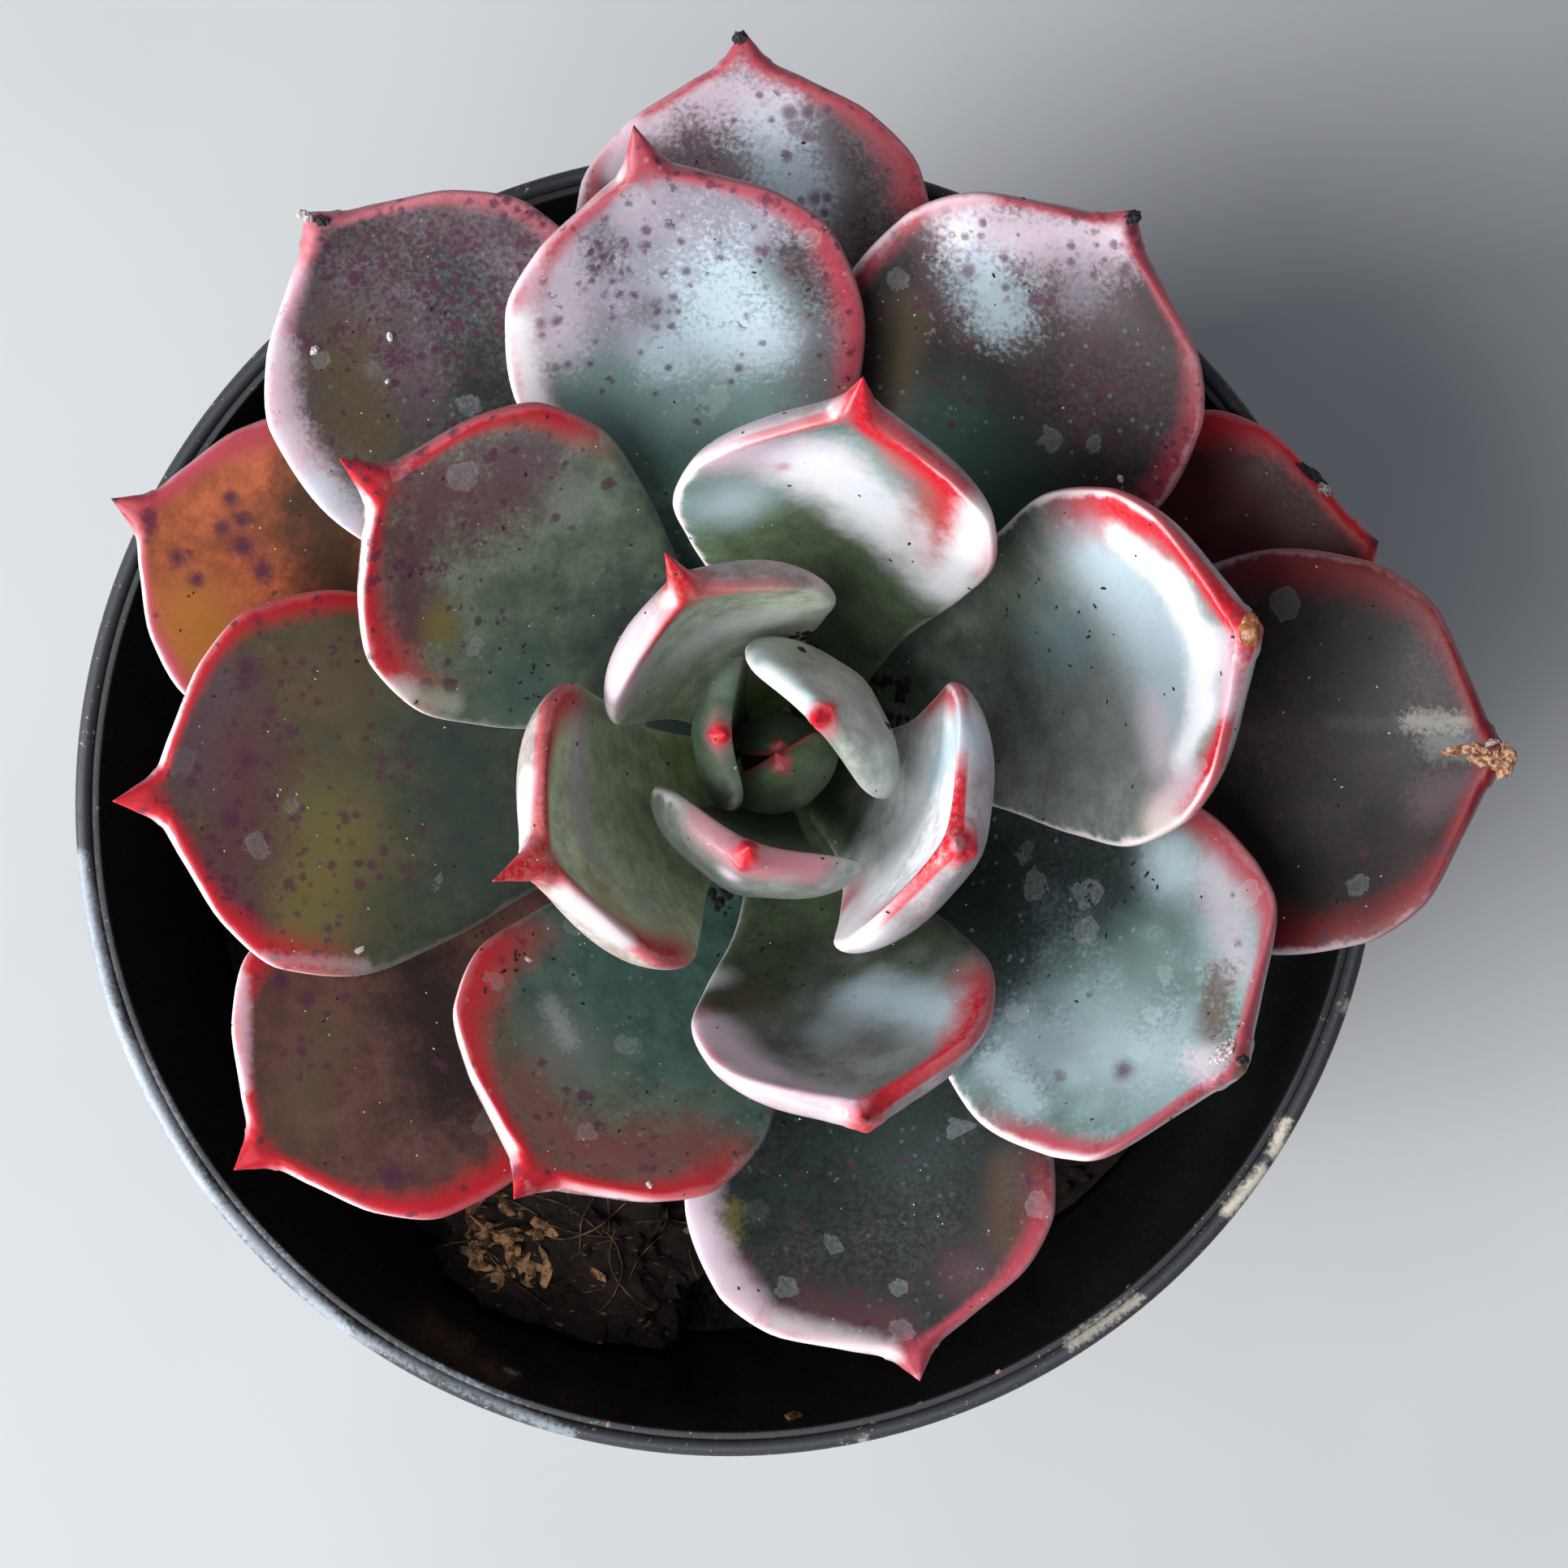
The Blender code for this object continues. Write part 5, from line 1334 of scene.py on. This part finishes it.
def pot_material(patches):
    """Black moulded plastic: a soft gloss, fine scuffs, dust, and lime flakes near the rim, and worn streaks
    on the rim's left that are partly painted highlight.
    """
    material, tree, inputs = new_material("pot_plastic")
    facts = add_group(tree, "grain", {})
    up = add_node(tree, "ShaderNodeSeparateXYZ", {0: object_place(tree)})["Z"]
    near_rim = up.span(POT_HEIGHT - 1.0 * MM, POT_HEIGHT)
    flaked = facts["fine"] + facts["medium"] * 0.45
    lime = flaked.span(0.87, 0.95) * near_rim
    dust = clouds(tree, 0.22 * MM, 2.0, 0.7).span(0.66, 0.74, 0.0, 0.12)
    plain = blend(near_rim, PLASTIC_BLACK, RIM_GREY)
    facts["colour"] = blend(lime.or_more(dust), plain, LIME_GREY)
    add_patches(tree, facts, patches)
    feed(inputs["Base Color"], facts["colour"])
    scuffs = clouds(tree, 0.6 * MM, 4.0, 0.7, (1.0, 1.0, 0.25)).span(0.35, 0.7, 0.20, 0.38)
    feed(inputs["Roughness"], scuffs + near_rim * 0.22)
    feed_bump(tree, inputs, flaked, 0.02 * MM, 0.4)
    return material


def make_pot():
    collar = POT_HEIGHT - COLLAR_HEIGHT
    ledge = POT_HEIGHT - RIM_STEP
    below_ledge = POT_HEIGHT - 12 * MM
    foot_radius = inner_wall_radius(FOOT_CORNER) + WALL
    bead_radius = (RIM_RADIUS - RIM_INNER_RADIUS) * 0.36
    bead = []
    for i in range(BEAD_STEPS + 1):
        around = math.pi * (1 - i / BEAD_STEPS)
        radius = RIM_RADIUS - bead_radius + bead_radius * math.cos(around)
        bead.append((radius, POT_HEIGHT - bead_radius + bead_radius * math.sin(around)))
    profile = [
        (CENTRE_RING, FLOOR),
        (CHANNEL_INNER_RADIUS - CHANNEL_EDGE, FLOOR),
        (CHANNEL_INNER_RADIUS, FLOOR + CHANNEL_RISE),
        (CHANNEL_OUTER_RADIUS, FLOOR + CHANNEL_RISE),
        (CHANNEL_OUTER_RADIUS + CHANNEL_EDGE, FLOOR),
        (inner_wall_radius(FLOOR) - FLOOR, FLOOR),
        (inner_wall_radius(2 * FLOOR), 2 * FLOOR),
        (inner_wall_radius(below_ledge), below_ledge),
        (inner_wall_radius(ledge), ledge),
        (RIM_RADIUS - 2 * bead_radius, ledge),
        *bead,
        (RIM_RADIUS - COLLAR_CORNER, collar),
        (inner_wall_radius(collar) + WALL, collar - COLLAR_CORNER),
        (foot_radius, FOOT_CORNER),
        (foot_radius - FOOT_CORNER, 0.0),
        (CHANNEL_OUTER_RADIUS, 0.0),
        (CHANNEL_OUTER_RADIUS - CHANNEL_EDGE, CHANNEL_RISE),
        (CHANNEL_INNER_RADIUS + CHANNEL_EDGE, CHANNEL_RISE),
        (CHANNEL_INNER_RADIUS, 0.0),
        (CENTRE_RING, 0.0),
    ]
    pot = turned("nursery_pot", profile, POT_SIDES)
    close_ends(pot)
    bevel_edges(pot, POT_BEVEL, 3)
    for i in range(DRAIN_HOLES):
        around = 2 * math.pi * (i + 0.5) / DRAIN_HOLES
        place = (DRAIN_RING_RADIUS * math.cos(around), DRAIN_RING_RADIUS * math.sin(around), FLOOR)
        deselect_all()
        bpy.ops.mesh.primitive_cylinder_add(
            vertices=48, radius=DRAIN_HOLE_RADIUS, depth=8 * FLOOR, location=place
        )
        cut_with(pot, bpy.context.object)
    smooth_by_angle(pot, 35)
    return finish_piece(pot, pot_material(find_places(pot, POT_PATCHES)), "pot_plastic", "pot")


# The soil and the clod


def soil_surface(x, y):
    """The height of the soil, as in the solids."""
    from_axis = math.hypot(x, y)
    from_stem = math.hypot(x - STEM_X, y - STEM_Y)
    turn = 2 * math.pi / SOIL_LUMP_SPACING
    lumps = math.sin(turn * x + 1.3) * math.cos(turn * 0.8 * y + 0.4)
    lumps += 0.6 * math.sin(turn * 0.47 * (x + y) + 2.1)
    mound = SOIL_MOUND * math.exp(-((from_stem / SOIL_MOUND_RADIUS) ** 2))
    edge = SOIL_EDGE_DROP * eased((from_axis - SOIL_EDGE_START) / SOIL_EDGE_WIDTH)
    return SOIL_HEIGHT + SOIL_LUMPS * lumps + mound - edge


def rough_soil(x, y):
    """The soil's height with its crumbs and pits."""
    place = Vector((x, y, 0.0)) / MM
    coarse = noise.fractal(place * 0.35, 1.0, 2.0, 4) * 0.55
    fine = noise.fractal(place * 1.6, 0.8, 2.0, 4) * 0.28
    return soil_surface(x, y) + (coarse + fine) * MM


def soil_material():
    material, tree, inputs = new_material("potting_mix")
    tone = clouds(tree, 1.4 * MM, 5.0, 0.7).span(0.35, 0.7)
    colour = blend(tone, PEAT_DARK, PEAT_LIGHT)
    chips = clouds(tree, 0.5 * MM, 2.0).span(0.66, 0.72, 0.0, 0.5)
    feed(inputs["Base Color"], blend(chips, colour, BARK_CHIP))
    feed(inputs["Roughness"], 0.92)
    feed_bump(tree, inputs, clouds(tree, 0.35 * MM, 5.0, 0.75), 0.12 * MM, 0.6)
    return material


def make_soil(material):
    base = FLOOR + CHANNEL_RISE + SOIL_GAP
    corner = 2 * FLOOR
    centre_ring = 0.4 * MM
    top_radius = inner_wall_radius(SOIL_HEIGHT) - SOIL_GAP
    profile = [
        (centre_ring, SOIL_HEIGHT),
        *((top_radius * i / SOIL_RINGS, SOIL_HEIGHT) for i in range(1, SOIL_RINGS + 1)),
        (inner_wall_radius(base + corner) - SOIL_GAP, base + corner),
        (inner_wall_radius(base) - SOIL_GAP - corner, base),
        (centre_ring, base),
    ]
    soil = turned("potting_soil_crumbly", profile, SOIL_SIDES)
    for vertex in soil.data.vertices:
        if vertex.co.z > SOIL_HEIGHT - MM:
            low = rough_soil(vertex.co.x, vertex.co.y) - vertex.co.z
            narrowed = 1.0 + WALL_SLOPE * min(0.0, low) / top_radius
            vertex.co = Vector((vertex.co.x * narrowed, vertex.co.y * narrowed, vertex.co.z + low))
    close_ends(soil)
    smooth_by_angle(soil, 60)
    return finish_piece(soil, material, "potting_mix", "potting_soil")


def make_crumbs(material):
    """Loose crumbs of bark and peat on the soil, copies of a few rough lumps."""
    draw = random.Random(CRUMB_SEED)
    kinds = []
    for i in range(5):
        lump = new_ball(f"crumb_kind_{i}", 1 + i % 2)
        for vertex in lump.data.vertices:
            vertex.co *= 1.0 + 0.35 * noise.noise(vertex.co * 1.7 + Vector((i * 5.0, 0.0, 0.0)))
        kinds.append(lump)
    copies = []
    for _ in range(SOIL_CRUMBS):
        radius = CRUMB_REACH * math.sqrt(draw.random())
        around = draw.uniform(0, 2 * math.pi)
        x, y = radius * math.cos(around), radius * math.sin(around)
        size = draw.uniform(*CRUMB_SIZES) * MM
        size *= 1.0 + BIG_CRUMB_GROWTH * (draw.random() < BIG_CRUMB_SHARE)
        if math.hypot(x, y) > inner_wall_radius(soil_surface(x, y)) - size - SOIL_GAP:
            continue
        kind = kinds[draw.randrange(len(kinds))]
        angle = draw.uniform(0, 6.28)
        axis = Vector((draw.random(), draw.random(), 0.3)).normalized()
        squash = Matrix.Diagonal((size * draw.uniform(0.8, 1.5), size, size * draw.uniform(0.5, 0.9), 1.0))
        place = Matrix.Translation((x, y, rough_soil(x, y) + 0.25 * size))
        copies.append(placed_copy(kind, place @ Matrix.Rotation(angle, 4, axis) @ squash))
    crumbs = join_copies(copies, kinds, "soil_crumbs")
    smooth_by_angle(crumbs, 50)
    finish_piece(crumbs, material, "potting_mix")


def coir_material():
    material, tree, inputs = new_material("coir")
    tone = clouds(tree, 0.9 * MM, 5.0, 0.75).span(0.36, 0.64)
    colour = blend(tone, COIR_DARK, COIR_LIGHT)
    strands = clouds(tree, 0.5 * MM, 3.0, 0.6, (0.35, 1.0, 1.0)).span(0.62, 0.70, 0.0, 0.7)
    feed(inputs["Base Color"], blend(strands, colour, COIR_STRAND))
    feed(inputs["Roughness"], 0.9)
    feed_bump(tree, inputs, clouds(tree, 0.3 * MM, 5.0, 0.75), 0.3 * MM, 0.8)
    return material


def make_clod():
    clod = new_ball("coir_clod_fibrous", 6)
    for vertex in clod.data.vertices:
        way = vertex.co.normalized()
        rough = math.sin(5.1 * way.x + 1.0) * math.cos(4.3 * way.y - 0.6)
        rough += math.sin(6.7 * way.y + 3.9 * way.z) * 0.7 + math.cos(7.9 * way.x - 5.3 * way.z) * 0.5
        size = 1.0 + 0.12 * rough + 0.16 * noise.fractal(way * 4.0, 0.8, 2.0, 6)
        along = way.x * CLOD_LONG * size
        across = way.y * CLOD_WIDE * size
        z = CLOD_MIDDLE + way.z * CLOD_HIGH * size
        x = CLOD_X + along * math.cos(CLOD_TURN) - across * math.sin(CLOD_TURN)
        y = CLOD_Y + along * math.sin(CLOD_TURN) + across * math.cos(CLOD_TURN)
        inside = min(1.0, (inner_wall_radius(z) - CLOD_GAP) / math.hypot(x, y))
        x *= inside
        y *= inside
        vertex.co = Vector((x, y, max(z, soil_surface(x, y) + 0.2 * MM)))
    smooth_by_angle(clod, 60)
    return finish_piece(clod, coir_material(), "coir", "coir_clod")


def make_fibres(clod, soil):
    """Fine pale roots and coir hairs that curl over the clod and the soil beside it."""
    draw = random.Random(FIBRE_SEED)
    tree = surface_tree([clod, soil])
    curve = bpy.data.curves.new("root_fibres", "CURVE")
    curve.dimensions = "3D"
    curve.bevel_depth = FIBRE_RADIUS
    curve.bevel_resolution = 1
    curve.use_fill_caps = True
    for i in range(FIBRES):
        on_clod = i % 3 > 0
        x = CLOD_X + draw.gauss(0.0 if on_clod else 7.5, 3.6) * MM
        y = CLOD_Y + draw.gauss(0.0 if on_clod else 1.5, 2.4) * MM
        heading = draw.uniform(0, 2 * math.pi)
        curl = draw.uniform(-0.09, 0.09)
        arch = draw.uniform(0.1, 0.9) * MM
        steps = draw.randrange(12, 26)
        points = []
        for k in range(steps):
            x += FIBRE_STEP * math.cos(heading)
            y += FIBRE_STEP * math.sin(heading)
            heading += curl + draw.uniform(-0.12, 0.12)
            if math.hypot(x, y) > inner_wall_radius(SOIL_HEIGHT) - MM:
                break
            below = tree.ray_cast(Vector((x, y, POT_HEIGHT)), Vector((0, 0, -1)))[0]
            points.append((x, y, below.z + 0.05 * MM + arch * math.sin(math.pi * k / (steps - 1))))
        if len(points) < 5:
            continue
        spline = curve.splines.new("POLY")
        spline.points.add(len(points) - 1)
        thick = draw.uniform(0.6, 1.5)
        for point, place in zip(spline.points, points):
            point.co = (*place, 1.0)
            point.radius = thick
    fibres = bpy.data.objects.new("root_fibres", curve)
    bpy.context.scene.collection.objects.link(fibres)
    select_only(fibres)
    bpy.ops.object.convert(target="MESH")
    fibres = bpy.context.object
    fibres.name = "root_fibres"
    smooth(fibres)
    finish_piece(fibres, bit_material("root"), "coir")


def make_chips(clod, soil, pot):
    """Tan chips of coir in the clod and on the soil, and the crumbs that stick to the pot's wall."""
    draw = random.Random(CHIP_SEED)
    tree = surface_tree([clod, soil])
    grains = []
    for i in range(CHIPS):
        near = i % 4 > 0
        x = CLOD_X + draw.gauss(-5.2 if near else 4.0, 1.5 if near else 9.0) * MM
        y = CLOD_Y + draw.gauss(-0.8 if near else 2.0, 2.2 if near else 3.0) * MM
        if math.hypot(x, y) > inner_wall_radius(SOIL_HEIGHT) - 1.5 * MM:
            continue
        point, normal, _, _ = tree.ray_cast(Vector((x, y, POT_HEIGHT)), Vector((0, 0, -1)))
        lean = (normal + Vector((draw.uniform(-0.6, 0.6), draw.uniform(-0.6, 0.6), 0.0))).normalized()
        size = draw.uniform(*CHIP_SIZES) * MM
        turn = draw.uniform(0, math.pi)
        grains.append((point, lean, turn, (size * draw.uniform(1.6, 3.4), size, 0.4 * size)))
    wall = surface_tree([pot])
    for x, y, size in WALL_CRUMBS:
        point, normal = seen_at(wall, x, y, SOIL_HEIGHT)
        size *= MM
        grains.append((point, normal, draw.uniform(0, math.pi), (1.4 * size, size, 0.5 * size)))
    smooth_by_angle(scattered("coir_chips", grains, bit_material("coir_chip"), "coir"), 30)


# The stem


def stem_material():
    material, tree, inputs = new_material("stem_bark")
    bark = clouds(tree, 1.2 * MM, 5.0, 0.7, (1.0, 1.0, 0.4))
    feed(inputs["Base Color"], blend(bark.span(0.35, 0.65), STEM_DARK, STEM_LIGHT))
    feed(inputs["Roughness"], 0.8)
    feed_bump(tree, inputs, bark, 0.3 * MM, 0.8)
    return material


def make_stem():
    low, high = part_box("stem")
    centre_ring = 0.3 * MM
    profile = [(centre_ring, low.z)]
    for i in range(STEM_RINGS + 1):
        height = low.z + (high.z - low.z) * i / STEM_RINGS
        flare = 0.5 * MM * (1.0 - eased((height - SOIL_HEIGHT) / (4 * MM)))
        profile.append((stem_radius(height) + flare, height))
    profile.append((centre_ring, high.z))
    stem = turned("short_stem", profile, 64)
    for vertex in stem.data.vertices:
        around = math.atan2(vertex.co.y, vertex.co.x)
        radius = math.hypot(vertex.co.x, vertex.co.y)
        scar = noise.noise(Vector((math.cos(around) * 2.0, math.sin(around) * 2.0, vertex.co.z / (2.2 * MM))))
        grown = 1.0 - 0.06 * abs(scar) if radius > MM else 1.0
        vertex.co = Vector((STEM_X + vertex.co.x * grown, STEM_Y + vertex.co.y * grown, vertex.co.z))
    close_ends(stem)
    smooth_by_angle(stem, 50)
    finish_piece(stem, stem_material(), "stem_bark", "stem")


# The stage


def make_stage():
    deselect_all()
    bpy.ops.mesh.primitive_plane_add(size=FLOOR_SIZE, location=(0, 0, 0))
    ground = named_new("pale_floor")
    material, tree, inputs = new_material("pale_floor")
    tone = clouds(tree, 60 * MM, 3.0).span(0.3, 0.7)
    feed(inputs["Base Color"], blend(tone, FLOOR_GREY, FLOOR_PALE))
    feed(inputs["Roughness"], 0.85)
    ground.data.materials.append(material)

    world = bpy.data.worlds.new("studio")
    bpy.context.scene.world = world
    world.use_nodes = True
    background = world.node_tree.nodes["Background"]
    feed(background.inputs["Color"], SKY_COLOUR)
    feed(background.inputs["Strength"], SKY_STRENGTH)


def add_light(name, azimuth, elevation, size, power, colour):
    """A soft rectangular light that looks at the rosette."""
    target = Vector((STEM_X, STEM_Y, POT_HEIGHT))
    turn = math.radians(azimuth)
    lift = math.radians(elevation)
    away = Vector((math.cos(turn) * math.cos(lift), math.sin(turn) * math.cos(lift), math.sin(lift)))
    lamp = bpy.data.lights.new(name, "AREA")
    lamp.shape = "RECTANGLE"
    lamp.size, lamp.size_y = size
    lamp.energy = power
    lamp.color = colour
    light = bpy.data.objects.new(name, lamp)
    light.location = target + away * LIGHT_DISTANCE
    light.rotation_euler = upright(away).to_euler()
    bpy.context.scene.collection.objects.link(light)


def make_camera():
    rim_width = 2 * RIM_RADIUS * FRAME_PIXELS / RIM_PIXELS
    data = bpy.data.cameras.new("camera")
    data.sensor_width = SENSOR
    data.lens = SENSOR * CAMERA_ABOVE_RIM / rim_width
    data.clip_start = 0.01
    data.clip_end = 20.0
    camera = bpy.data.objects.new("camera", data)
    camera.location = (CAMERA_X, CAMERA_Y, POT_HEIGHT + CAMERA_ABOVE_RIM)
    bpy.context.scene.collection.objects.link(camera)
    bpy.context.scene.camera = camera
    bpy.context.scene.view_settings.view_transform = "Standard"


make_camera()
make_stage()
for light in LIGHTS:
    add_light(*light)
pot = make_pot()
potting_mix = soil_material()
soil = make_soil(potting_mix)
make_crumbs(potting_mix)
clod = make_clod()
make_fibres(clod, soil)
make_chips(clod, soil, pot)
make_stem()
leaves = make_leaves()
make_scabs(leaves)
make_flecks(leaves)

deselect_all()
